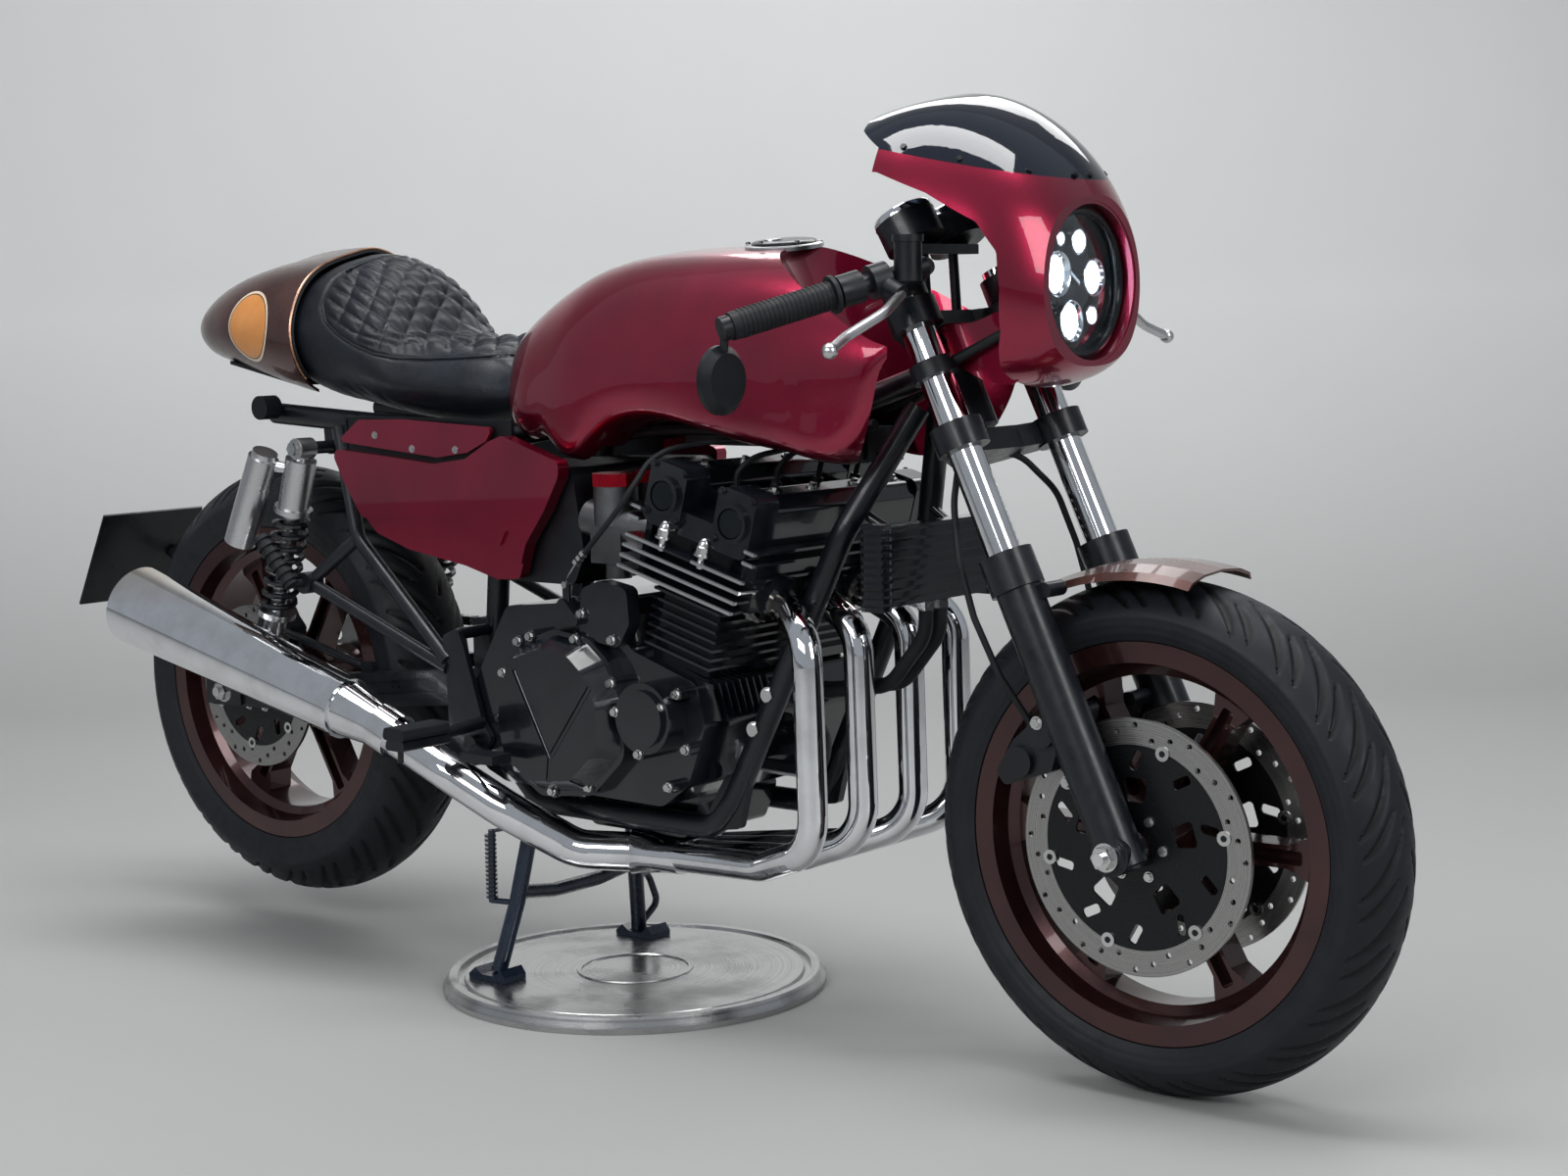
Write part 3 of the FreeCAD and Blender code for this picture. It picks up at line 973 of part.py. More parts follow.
def pedals():
    """Brake pedal on the right and gear lever on the left."""
    y0 = CASE_HALF + 3
    pedal = fuse([rod(V(-112, -y0 - 8, 344), V(-112, -y0 - 22, 344), 12),
                  pipe([V(-112, -y0 - 15, 344), V(-72, -y0 - 32, 334), V(-46, -240, 340)], 5, 30),
                  box(-54, 4, -262, -228, 338, 350)])
    lever = fuse([rod(V(-40, 130, 330), V(-40, y0 + 24, 330), 7), rod(V(-40, y0 + 18, 330), V(44, y0 + 22, 346), 6),
                  rod(V(44, y0 + 18, 346), V(44, y0 + 70, 346), 9)])
    lever = lever.cut(parts["crankcase"]).cut(parts["left_covers"])
    parts["pedals"] = Part.makeCompound([main_solid(pedal.cut(parts["rest_hangers"])), main_solid(lever)])


def rear_end():
    """Number plate on its arm from the swingarm."""
    top, low = V(RA.x - 356, 0, RA.z + 238), V(RA.x - 430, 0, RA.z + 95)
    plate = slab([(low.x - 1.5, low.z + 1), (top.x - 1.5, top.z + 1), (top.x + 1.5, top.z - 1),
                  (low.x + 1.5, low.z - 1)], -95, 95)
    arm = pipe([V(RA.x - 43, 128, RA.z + 5), V(RA.x - 243, 128, RA.z + 53), V(RA.x - 343, 100, RA.z + 103),
                V(RA.x - 384, 40, RA.z + 163)], 8, 60)
    light = slab([(RA.x - 352, RA.z + 238), (RA.x - 340, RA.z + 250), (RA.x - 366, RA.z + 258),
                  (RA.x - 372, RA.z + 246)], -30, 30, 3)
    parts["number_plate"] = main_solid(fuse([plate, arm, light]).cut(parts["swingarm"]))


def stands():
    """Centre stand on its pins, side stand folded up, and the round plate."""
    top, r = PLATE_TOP, PLATE_R
    rows = [(0, 0), (r, 0), (r, 7), (r - 9, top + 2), (r - 20, top + 2), (r - 22, top - 5), (r - 29, top - 5),
            (r - 31, top), (80, top), (79, top + 2), (73, top + 2), (72, top), (0, top)]
    pts = [V(x, 0, z) for x, z in rows]
    parts["round_plate"] = Part.Face(Part.makePolygon(pts + [pts[0]])).revolve(V(0, 0, 0), V(0, 0, 1), 360)
    legs = []
    p = STAND_PIVOT
    for s in (-1, 1):
        leg = pipe([V(p.x, s * 99, p.z), V(-104, s * 118, 120), V(-120, s * 140, top + 9)], 11, 60)
        foot = slab([(-152, top + 0.4), (-152, top + 6), (-140, top + 16), (-128, top + 8), (-104, top + 8),
                     (-92, top + 18), (-84, top + 8), (-84, top + 0.4)], min(s * 126, s * 166), max(s * 126, s * 166))
        boss = rod(V(p.x, s * 84, p.z), V(p.x, s * 112, p.z), 15)
        legs += [leg, foot, boss]
    cross = pipe([V(-104, -116, 132), V(-108, -44, 121), V(-108, 44, 121), V(-104, 116, 132)], 10, 80)
    hook = rod(V(-139, -128, 214), V(-100, -110, 222), 2.5)
    lug = rod(V(-105, -119, 118), V(-143, -128, 118), 4)
    coil = [rod(V(-142, -128, 116), V(-139, -128, 216), 5)]
    coil += [rod(V(-142, -128, 122 + 6.0 * k), V(-142, -128, 125 + 6.0 * k), 8) for k in range(15)]
    tang = pipe([V(-108, 126, 100), V(-126, 164, 112), V(-112, 172, 62), V(-116, 146, 40)], 5, 18)
    solids = legs + [cross, hook, lug, tang] + coil
    pin_bore = rod(V(p.x, -200, p.z), V(p.x, 200, p.z), STAND_PIN_R + AXLE_BORE_GAP)
    parts["centre_stand"] = main_solid(fuse(solids).cut(pin_bore))
    q = SIDE_STAND_PIVOT
    end = q.x - SIDE_STAND_LEN
    side = fuse([rod(V(q.x, 126, q.z), V(q.x, 150, q.z), 14),
                 pipe([V(q.x, 140, q.z), V(q.x - 90, 154, q.z + 8), V(end + 6, 166, q.z + 12)], 9, 60),
                 slab([(end - 12, q.z + 4), (end - 12, q.z + 14), (end + 16, q.z + 20), (end + 16, q.z + 4)], 148, 186, 4)])
    parts["side_stand"] = side.cut(rod(V(q.x, 100, q.z), V(q.x, 200, q.z), STAND_PIN_R + AXLE_BORE_GAP))


wheels()
fork()
fairing()
headlight()
instruments()
bars()
frame()
seat_and_tail(tank())
side_covers()
rests()
struts()
engine()
pedals()
carburettors()
exhaust()
cooling()
swingarm()
shocks()
rear_end()
stands()
chain()

os.makedirs("parts", exist_ok=True)
for name, shape in parts.items():
    shape.exportStep("parts/" + name + ".step")
    print(name, len(shape.Solids), shape.isValid(), round(shape.Volume / 1000.0, 1))
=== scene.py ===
import json
from math import acos, atan2, copysign, cos, exp, hypot, pi, radians, sin

import bmesh
import bpy
from bpy.props import FloatProperty, FloatVectorProperty, PointerProperty
from bpy.types import Operator, Panel, PropertyGroup
from mathutils import Matrix, Vector, noise
from mathutils.bvhtree import BVHTree


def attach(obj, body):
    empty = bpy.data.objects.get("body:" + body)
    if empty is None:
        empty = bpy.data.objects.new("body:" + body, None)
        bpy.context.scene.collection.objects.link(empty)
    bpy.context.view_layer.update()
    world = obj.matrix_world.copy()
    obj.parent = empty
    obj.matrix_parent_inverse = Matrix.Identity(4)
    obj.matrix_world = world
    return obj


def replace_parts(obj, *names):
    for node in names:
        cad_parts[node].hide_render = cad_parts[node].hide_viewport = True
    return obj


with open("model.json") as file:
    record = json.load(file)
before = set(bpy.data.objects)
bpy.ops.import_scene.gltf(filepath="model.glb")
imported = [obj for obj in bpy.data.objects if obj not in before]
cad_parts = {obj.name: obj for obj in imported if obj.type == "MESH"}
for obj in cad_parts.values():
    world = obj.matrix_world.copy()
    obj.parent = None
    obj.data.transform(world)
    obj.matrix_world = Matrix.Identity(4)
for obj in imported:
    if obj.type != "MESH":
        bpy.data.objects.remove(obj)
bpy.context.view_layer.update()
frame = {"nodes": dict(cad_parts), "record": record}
NODES = frame["nodes"]

bl_info = {
    "name": "Cafe racer motorcycle",
    "version": (1, 0, 0),
    "blender": (4, 5, 0),
    "location": "3D View > Sidebar > Cafe racer",
    "description": "Dresses the packed cafe racer with its finishes, seat, tyres, lamp and fittings",
    "category": "Object",
}

# Places that the source's named sizes give, in metres and radians
FRONT_AXLE = Vector((0.8375, 0.0, 0.300))
REAR_AXLE = Vector((-0.6575, 0.0, 0.367))
LAMP = Vector((0.700, 0.0, 0.935))
CYL_BASE = Vector((0.216, 0.0, 0.468))
CYL_LEAN = radians(15.6)
BORE_UP = Vector((sin(CYL_LEAN), 0, cos(CYL_LEAN)))
CYLINDERS = (-0.120, -0.042, 0.042, 0.120)
CAMS = (-0.036, 0.076)
CAM_HEIGHT = 0.216
CASE_FACE = -0.165
CHAIN_LINE = 0.093
GAUGE_UP = Vector((-0.5, 0, 0.866))

# The photograph's camera: place, yaw, pitch and roll, focal length and size in pixels, sensor in mm
CAMERA_PLACE = Vector((2.348, -2.536, 0.925))
YAW, PITCH, ROLL = (radians(a) for a in (39.27, -6.43, -1.04))
FOCAL, PHOTO_WIDTH, PHOTO_HEIGHT, SENSOR = 2638.0, 1600.0, 1200.0, 36.0

# Pixels of the photograph where fittings sit
ROUNDEL_PIXEL = (252, 333)
SCREEN_PIXELS = ((922, 150), (979, 162), (1050, 174), (1112, 179))
COVER_PIXELS = ((383, 444), (421, 458), (465, 459))


# Node helpers


def new_material(name, metallic=0.0, coat=0.0, coat_rough=0.04, specular=0.5, **more):
    """A Principled material with its constant values set on the shader itself."""
    mat = bpy.data.materials.new(name)
    mat.use_nodes = True
    inputs = mat.node_tree.nodes["Principled BSDF"].inputs
    for key, value in {"Metallic": metallic, "Coat Weight": coat, "Coat Roughness": coat_rough,
                       "Specular IOR Level": specular, **more}.items():
        inputs[key].default_value = value
    return mat, mat.node_tree


def feed(tree, **sources):
    """Links values to the shader's inputs, which are named with underscores."""
    inputs = tree.nodes["Principled BSDF"].inputs
    for key, source in sources.items():
        tree.links.new(source, inputs[key.replace("_", " ")])


def add(tree, kind, **values):
    """A node with its properties, then its inputs, set by name."""
    node = tree.nodes.new(kind)
    for key, value in values.items():
        if hasattr(node, key):
            setattr(node, key, value)
        else:
            node.inputs[key.replace("_", " ")].default_value = value
    return node


def object_point(tree):
    """The object's own coordinates."""
    return add(tree, "ShaderNodeTexCoord").outputs["Object"]


def grain(tree, scale, detail=3.0, roughness=0.55):
    """Noise value over the object's own coordinates."""
    node = add(tree, "ShaderNodeTexNoise", Scale=scale, Detail=detail, Roughness=roughness)
    tree.links.new(object_point(tree), node.inputs["Vector"])
    return node.outputs["Fac"]


def rings_over(tree, distance, scale, detail):
    """Noise value that changes along one distance only."""
    node = add(tree, "ShaderNodeTexNoise", noise_dimensions="1D", Scale=scale, Detail=detail)
    tree.links.new(distance, node.inputs["W"])
    return node.outputs["Fac"]


def cells(tree, scale):
    """Distance to the nearest of many scattered cells."""
    node = add(tree, "ShaderNodeTexVoronoi", feature="F1", Scale=scale)
    tree.links.new(object_point(tree), node.inputs["Vector"])
    return node.outputs["Distance"]


def ranged(tree, value, low, high, to_low=0.0, to_high=1.0):
    """The value spread from one range to another, held at its ends."""
    node = tree.nodes.new("ShaderNodeMapRange")
    for i, v in enumerate((low, high, to_low, to_high), 1):
        node.inputs[i].default_value = v
    tree.links.new(value, node.inputs[0])
    return node.outputs[0]


def patches(tree, scale, detail, low, high, to_low=0.0, to_high=1.0):
    """Noise spread over a range."""
    return ranged(tree, grain(tree, scale, detail), low, high, to_low, to_high)


def sums(tree, operation, *terms):
    """One arithmetic step."""
    node = add(tree, "ShaderNodeMath", operation=operation)
    for socket, term in zip(node.inputs, terms):
        tree.links.new(term, socket)
    return node.outputs[0]


def axes_of(tree, vector):
    """A vector's three parts."""
    split = tree.nodes.new("ShaderNodeSeparateXYZ")
    tree.links.new(vector, split.inputs[0])
    return split.outputs


def length_of(tree, *sides):
    """Length of the side that closes a right angle."""
    squares = [sums(tree, "MULTIPLY", side, side) for side in sides]
    return sums(tree, "SQRT", sums(tree, "ADD", *squares))


def blended(tree, factor, dark, light):
    """Two colours, or a colour over an earlier blend, mixed by a factor."""
    node = add(tree, "ShaderNodeMix", data_type="RGBA")
    tree.links.new(factor, node.inputs[0])
    for socket, v in ((node.inputs[6], dark), (node.inputs[7], light)):
        if isinstance(v, (tuple, list)):
            socket.default_value = (*v, 1.0)
        else:
            tree.links.new(v, socket)
    return node.outputs[2]


def bumped(tree, height, distance, strength):
    """A bump added to the ones that the shader has."""
    normal = tree.nodes["Principled BSDF"].inputs["Normal"]
    node = add(tree, "ShaderNodeBump", Strength=strength, Distance=distance)
    tree.links.new(height, node.inputs["Height"])
    if normal.links:
        tree.links.new(normal.links[0].from_socket, node.inputs["Normal"])
    tree.links.new(node.outputs[0], normal)


def wheel_radius(tree, centre):
    """Distance from an axle along Y."""
    shift = add(tree, "ShaderNodeMapping", Location=tuple(-c for c in centre))
    tree.links.new(object_point(tree), shift.inputs["Vector"])
    x, _, z = axes_of(tree, shift.outputs[0])
    return length_of(tree, x, z)


# Finishes


def painted(name, dark, light, metallic=0.0, rough=(0.25, 0.4), coat=0.0, peel=0.15, scale=60.0,
            dust=None, specular=0.5):
    """Paint or powder coat: colour drift, uneven gloss, orange peel, and dust in a few places."""
    mat, tree = new_material(name, metallic, coat, specular=specular)
    colour = blended(tree, patches(tree, scale * 0.25, 4.0, 0.35, 0.7), dark, light)
    if dust:
        colour = blended(tree, patches(tree, 14.0, 6.0, 0.55, 0.8, 0.0, 0.12), colour, dust)
    feed(tree, Base_Color=colour, Roughness=patches(tree, scale, 3.0, 0.3, 0.7, *rough))
    bumped(tree, grain(tree, scale * 6.0, 2.0), 0.0004, peel)
    return mat


def candy_red(colour):
    """Deep candy paint: fine flake under a glossy clear coat."""
    mat, tree = new_material("candy_red_paint", 0.86, 0.9, 0.02)
    flake = cells(tree, 2600.0)
    deep = tuple(c * 0.62 for c in colour)
    bright = (min(1.0, colour[0] * 1.35), colour[1] * 1.7 + 0.004, colour[2] * 1.5)
    drift = blended(tree, patches(tree, 7.0, 2.0, 0.3, 0.7), deep, colour)
    feed(tree, Base_Color=blended(tree, ranged(tree, flake, 0.1, 0.45, 1.0, 0.0), drift, bright),
         Roughness=ranged(tree, flake, 0.0, 0.6, 0.20, 0.30))
    bumped(tree, flake, 0.00006, 0.12)
    return mat


def bare_metal(name, dark, light, rough=(0.18, 0.35), scale=120.0, bump=0.08, coarse=9.0):
    """Bare metal with uneven polish and light handling marks."""
    mat, tree = new_material(name, 1.0)
    feed(tree, Base_Color=blended(tree, patches(tree, coarse, 5.0, 0.3, 0.75), light, dark),
         Roughness=patches(tree, scale, 4.0, 0.3, 0.72, *rough))
    bumped(tree, grain(tree, scale * 4.0), 0.0003, bump)
    return mat


def chrome_with_heat(name):
    """Chrome with faint water marks, and a warm tint where the headers leave the head."""
    mat, tree = new_material(name, 1.0)
    marks = patches(tree, 22.0, 6.0, 0.45, 0.75)
    cool = blended(tree, marks, (0.82, 0.83, 0.85), (0.66, 0.66, 0.67))
    x, _, z = axes_of(tree, object_point(tree))
    hot = sums(tree, "MULTIPLY", ranged(tree, z, 0.50, 0.57, 0.0, 0.75), ranged(tree, x, 0.40, 0.35))
    feed(tree, Base_Color=blended(tree, hot, cool, (0.55, 0.42, 0.26)),
         Roughness=ranged(tree, marks, 0.0, 1.0, 0.035, 0.14))
    bumped(tree, grain(tree, 30.0, 2.0), 0.0006, 0.05)
    return mat


def turned_metal(name, centre, dark, light, band):
    """Brake disc: a band ground in fine rings about the axle, and a black carrier inside it."""
    mat, tree = new_material(name, 1.0, specular=0.3)
    r = wheel_radius(tree, centre)
    lines = rings_over(tree, r, 900.0, 5.0)
    outer = ranged(tree, r, band - 0.0004, band)
    ground = blended(tree, ranged(tree, lines, 0.3, 0.7), dark, light)
    feed(tree, Base_Color=blended(tree, outer, (0.0035, 0.004, 0.005), ground), Metallic=outer,
         Roughness=ranged(tree, lines, 0.3, 0.7, 0.2, 0.4))
    bumped(tree, lines, 0.0004, 0.25)
    return mat


def floor_plate_metal(name):
    """Round floor plate: turned rings about Z, with scuffs and dull spots."""
    mat, tree = new_material(name, 1.0)
    x, y, _ = axes_of(tree, object_point(tree))
    lines = rings_over(tree, length_of(tree, x, y), 260.0, 6.0)
    scuff = patches(tree, 9.0, 8.0, 0.45, 0.68)
    base = blended(tree, ranged(tree, lines, 0.3, 0.7), (0.42, 0.42, 0.42), (0.62, 0.62, 0.61))
    feed(tree, Base_Color=blended(tree, scuff, base, (0.30, 0.30, 0.30)),
         Roughness=ranged(tree, sums(tree, "ADD", scuff, lines), 0.3, 1.6, 0.16, 0.42))
    bumped(tree, lines, 0.0003, 0.2)
    bumped(tree, scuff, 0.0006, 0.2)
    return mat


def moulded(name, colour, rough=(0.4, 0.6), grain_scale=900.0, bump=0.3):
    """Moulded plastic or rubber with a fine grain and worn patches."""
    mat, tree = new_material(name, specular=0.32)
    worn = tuple(c * 1.8 + 0.001 for c in colour)
    feed(tree, Base_Color=blended(tree, patches(tree, 25.0, 5.0, 0.45, 0.75), colour, worn),
         Roughness=patches(tree, 40.0, 3.0, 0.3, 0.7, *rough))
    bumped(tree, grain(tree, grain_scale, 2.0), 0.0003, bump)
    return mat


def tyre_rubber(name, centre, crown):
    """Tyre rubber: fresh dark tread, dustier side walls with fine turned rings, painted shade in the
    grooves.
    """
    mat, tree = new_material(name, specular=0.28)
    r = wheel_radius(tree, centre)
    lines = rings_over(tree, r, 700.0, 2.0)
    wall = ranged(tree, r, crown - 0.045, crown - 0.03, 1.0, 0.0)
    dust = sums(tree, "MULTIPLY", wall, patches(tree, 30.0, 6.0, 0.35, 0.8, 0.0, 0.8))
    # Groove depth stored on the mesh: the mask of the painted shade in the tread grooves
    cut = add(tree, "ShaderNodeAttribute", attribute_name="groove").outputs["Fac"]
    worn = blended(tree, dust, (0.0075, 0.009, 0.012), (0.015, 0.017, 0.021))
    # The near-black colour is painted shade, strongest where the groove is deepest
    feed(tree, Base_Color=blended(tree, cut, worn, (0.0012, 0.0014, 0.0018)),
         Roughness=patches(tree, 70.0, 3.0, 0.3, 0.7, 0.45, 0.62))
    bumped(tree, sums(tree, "MULTIPLY", wall, lines), 0.0006, 0.35)
    bumped(tree, grain(tree, 800.0, 2.0), 0.0003, 0.25)
    return mat


def seat_leather(name):
    """Black leather: pebbled grain of two sizes, soft creases and worn gloss."""
    mat, tree = new_material(name, specular=0.36)
    pebble = cells(tree, 520.0)
    crease = ranged(tree, grain(tree, 55.0, 7.0, 0.7), 0.35, 0.65)
    worn = patches(tree, 12.0, 3.0, 0.35, 0.7)
    feed(tree, Base_Color=blended(tree, worn, (0.006, 0.008, 0.012), (0.013, 0.017, 0.024)),
         Roughness=ranged(tree, sums(tree, "ADD", pebble, crease), 0.2, 1.4, 0.30, 0.5))
    bumped(tree, pebble, 0.0004, 0.35)
    bumped(tree, crease, 0.0008, 0.25)
    return mat


def see_through(name, weight, ior, haze, dark, light, scales, coat=0.0, specular=0.5):
    """Glass or tinted acrylic with a hint of haze."""
    mat, tree = new_material(name, 0.0, coat, specular=specular,
                             **{"Transmission Weight": weight, "IOR": ior})
    feed(tree, Base_Color=blended(tree, grain(tree, scales[0], 2.0), dark, light),
         Roughness=patches(tree, scales[1], 3.0, 0.3, 0.7, *haze))
    return mat


def glowing(name, colour, strength):
    """A lit surface: the glow varies a little from place to place."""
    mat, tree = new_material(name, **{"Emission Strength": strength})
    shade = blended(tree, patches(tree, 120.0, 2.0, 0.3, 0.7), colour, (1.0, 1.0, 1.0))
    feed(tree, Base_Color=shade, Emission_Color=shade)
    return mat


FINISH = {}


def make_finishes():
    """All finishes by name."""
    FINISH.update(
        steel_plate=floor_plate_metal("turned_floor_steel"),
        frame_black=painted("satin_black_frame", (0.0045, 0.0055, 0.008), (0.009, 0.011, 0.015), 0.0,
                            (0.26, 0.42), 0.12, dust=(0.05, 0.05, 0.05), specular=0.35),
        engine_black=painted("gloss_black_engine", (0.0035, 0.0045, 0.007), (0.008, 0.010, 0.014), 0.0,
                             (0.11, 0.22), 0.55, dust=(0.045, 0.045, 0.045), specular=0.4),
        candy_red=candy_red(tuple(bpy.context.scene.racer_sizes.tank_red)),
        brown_metal=painted("brown_satin_metallic", (0.058, 0.022, 0.018), (0.115, 0.045, 0.036), 0.55,
                            (0.26, 0.36), 0.6, 0.08),
        wheel_bronze=painted("bronze_wheel_paint", (0.042, 0.014, 0.015), (0.066, 0.023, 0.022), 0.65,
                             (0.18, 0.27), 0.45, 0.05, 40.0),
        stand_blue=painted("blue_black_stand", (0.003, 0.008, 0.022), (0.008, 0.020, 0.045), 0.1,
                           (0.2, 0.34), 0.3),
        amber=painted("amber_lens", (0.42, 0.11, 0.01), (0.60, 0.18, 0.02), 0.0, (0.1, 0.2), 0.6),
        roundel_orange=painted("roundel_orange", (0.62, 0.24, 0.055), (0.74, 0.32, 0.09), 0.0,
                               (0.3, 0.4), 0.3),
        roundel_edge=painted("roundel_edge", (0.70, 0.56, 0.42), (0.80, 0.66, 0.52), 0.0, (0.3, 0.4), 0.3),
        roundel_ring=painted("roundel_ring", (0.012, 0.010, 0.010), (0.02, 0.018, 0.016), 0.0,
                             (0.3, 0.4), 0.3),
        dial_orange=painted("dial_orange", (0.60, 0.10, 0.02), (0.72, 0.16, 0.03), 0.0, (0.3, 0.4)),
        chrome=chrome_with_heat("chrome_plate"),
        silver=bare_metal("satin_aluminium", (0.54, 0.54, 0.55), (0.64, 0.64, 0.65), (0.26, 0.32), 30.0,
                          0.02, 4.0),
        steel=bare_metal("ground_steel", (0.30, 0.30, 0.30), (0.46, 0.46, 0.45), (0.25, 0.42), 200.0),
        bright_steel=bare_metal("bright_fastener_steel", (0.45, 0.45, 0.45), (0.68, 0.68, 0.67),
                                (0.12, 0.28), 300.0),
        cast_grey=bare_metal("cast_alloy", (0.26, 0.255, 0.245), (0.42, 0.41, 0.40), (0.38, 0.58), 80.0,
                             0.35),
        dark_cast=bare_metal("dark_cast_alloy", (0.085, 0.085, 0.088), (0.16, 0.16, 0.165), (0.35, 0.5),
                             80.0, 0.3),
        fin_edge=bare_metal("milled_fin_edge", (0.62, 0.62, 0.62), (0.86, 0.86, 0.86), (0.14, 0.26), 260.0),
        red_anodised=bare_metal("red_anodised", (0.34, 0.008, 0.018), (0.55, 0.015, 0.035), (0.24, 0.36)),
        copper_edge=bare_metal("copper_edge", (0.40, 0.21, 0.13), (0.62, 0.38, 0.27), (0.25, 0.4)),
        rubber=moulded("black_rubber", (0.005, 0.006, 0.008), (0.5, 0.68)),
        black_plastic=moulded("black_plastic", (0.0045, 0.0055, 0.0075), (0.3, 0.5)),
        plate_black=moulded("plate_black", (0.003, 0.005, 0.0065), (0.16, 0.3), 300.0, 0.06),
        thread=moulded("grey_thread", (0.035, 0.037, 0.042), (0.5, 0.7)),
        dial_white=moulded("dial_white", (0.60, 0.60, 0.58), (0.4, 0.6), 300.0, 0.05),
        leather=seat_leather("black_leather"),
        screen=see_through("dark_tint_screen", 0.55, 1.49, (0.02, 0.06), (0.006, 0.010, 0.022),
                           (0.012, 0.018, 0.035), (4.0, 60.0), 0.3, 0.6),
        lens=see_through("lamp_glass", 1.0, 1.45, (0.0, 0.03), (0.93, 0.97, 1.0),
                         (0.9114, 0.9506, 0.98), (6.0, 90.0)),
        lit=glowing("lamp_glow", (0.55, 0.75, 1.0), 6.0),
        front_disc=turned_metal("front_disc_steel", FRONT_AXLE, (0.24, 0.24, 0.235), (0.42, 0.41, 0.40),
                                0.1182),
        rear_disc=turned_metal("rear_disc_steel", REAR_AXLE, (0.22, 0.22, 0.215), (0.40, 0.39, 0.38),
                               0.0902),
        front_tyre=tyre_rubber("front_tyre_rubber", FRONT_AXLE, 0.300),
        rear_tyre=tyre_rubber("rear_tyre_rubber", REAR_AXLE, 0.321))


NODE_FINISH = {
    "cylinder_head": "engine_black", "carburettors": "dark_cast", "front_discs": "front_disc",
    "rear_disc": "rear_disc", "front_tyre": "front_tyre", "rear_tyre": "rear_tyre",
    "rear_sprocket": "steel",
}


def dress_nodes():
    """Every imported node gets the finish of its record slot, or a closer one named above."""
    slots = {p["node"]: p["material_slot"] for p in frame["record"]["subparts"]}
    for name, node in NODES.items():
        finish = FINISH[NODE_FINISH.get(name, slots[name])]
        if not node.material_slots:
            node.data.materials.append(finish)
        for slot in node.material_slots:
            slot.material = finish


# Mesh helpers


SHARP_ANGLE = radians(38)


def placed(name, data):
    """A new object in the scene."""
    ob = bpy.data.objects.new(name, data)
    bpy.context.scene.collection.objects.link(ob)
    return ob


def baked(ob):
    """The object's mesh with its modifiers applied."""
    return bpy.data.meshes.new_from_object(ob.evaluated_get(bpy.context.evaluated_depsgraph_get()))


def finished(name, mesh, finish, body="chassis", smooth=True):
    """A mesh object with a finish, and the body that it rides on."""
    ob = placed(name, mesh)
    mesh.materials.clear()
    mesh.materials.append(FINISH[finish])
    if smooth:
        mesh.shade_smooth()
        mesh.set_sharp_from_angle(angle=SHARP_ANGLE)
    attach(ob, body)
    return ob


def turn_outward(mesh, merge=0.0):
    """Joins points nearer than the merge distance and turns the faces outward."""
    bm = bmesh.new()
    bm.from_mesh(mesh)
    if merge:
        bmesh.ops.remove_doubles(bm, verts=bm.verts, dist=merge)
    bmesh.ops.recalc_face_normals(bm, faces=bm.faces)
    bm.to_mesh(mesh)
    bm.free()


def joined(name, bms, finish, body="chassis", smooth=True):
    """Several bmesh parts written to one piece."""
    whole = bmesh.new()
    for b in bms:
        mesh = bpy.data.meshes.new("part")
        b.to_mesh(mesh)
        b.free()
        whole.from_mesh(mesh)
        bpy.data.meshes.remove(mesh)
    mesh = bpy.data.meshes.new(name)
    whole.to_mesh(mesh)
    whole.free()
    return finished(name, mesh, finish, body, smooth)


def turns(count, first=0.0):
    """Angles spread evenly round a circle, from a first one in degrees."""
    return [radians(first) + 2 * pi * k / count for k in range(count)]


def lathe(profile, at, axis, segments=24, hollow=False):
    """Turned solid: profile of (along, radius) from end to end, or all round a hollow ring."""
    bm = bmesh.new()
    axis = Vector(axis).normalized()
    side = axis.orthogonal().normalized()
    across = axis.cross(side)
    rings = []
    for along, r in profile:
        middle = Vector(at) + axis * along
        if r < 1e-6:
            rings.append([bm.verts.new(middle)])
            continue
        rings.append([bm.verts.new(middle + (side * cos(a) + across * sin(a)) * r)
                      for a in turns(segments)])
    if hollow:
        rings.append(rings[0])
    for low, high in zip(rings, rings[1:]):
        for i in range(segments):
            j = (i + 1) % segments
            if len(low) == 1:
                bm.faces.new((low[0], high[j], high[i]))
            elif len(high) == 1:
                bm.faces.new((low[i], low[j], high[0]))
            else:
                bm.faces.new((low[i], low[j], high[j], high[i]))
    for ring, turn in ((rings[0], -1), (rings[-1], 1)):
        if len(ring) > 1 and not hollow:
            bm.faces.new(ring[::turn])
    bmesh.ops.recalc_face_normals(bm, faces=bm.faces)
    return bm


def tube(points, r, segments=10):
    """Round tube along a smooth line through the points."""
    curve = bpy.data.curves.new("line", "CURVE")
    curve.dimensions = "3D"
    spline = curve.splines.new("BEZIER")
    spline.bezier_points.add(len(points) - 1)
    for p, co in zip(spline.bezier_points, points):
        p.co = co
        p.handle_left_type = p.handle_right_type = "AUTO"
    spline.resolution_u = 8
    curve.bevel_depth = r
    curve.bevel_resolution = max(1, segments // 4)
    curve.use_fill_caps = True
    bm = mesh_of_curve("line", curve)
    bmesh.ops.remove_doubles(bm, verts=bm.verts, dist=1e-6)
    bmesh.ops.recalc_face_normals(bm, faces=bm.faces)
    return bm


def mesh_of_curve(name, curve):
    """A curve's or text's mesh; the curve itself is removed."""
    ob = placed(name, curve)
    mesh = baked(ob)
    bm = bmesh.new()
    bm.from_mesh(mesh)
    bpy.data.objects.remove(ob)
    bpy.data.curves.remove(curve)
    bpy.data.meshes.remove(mesh)
    return bm


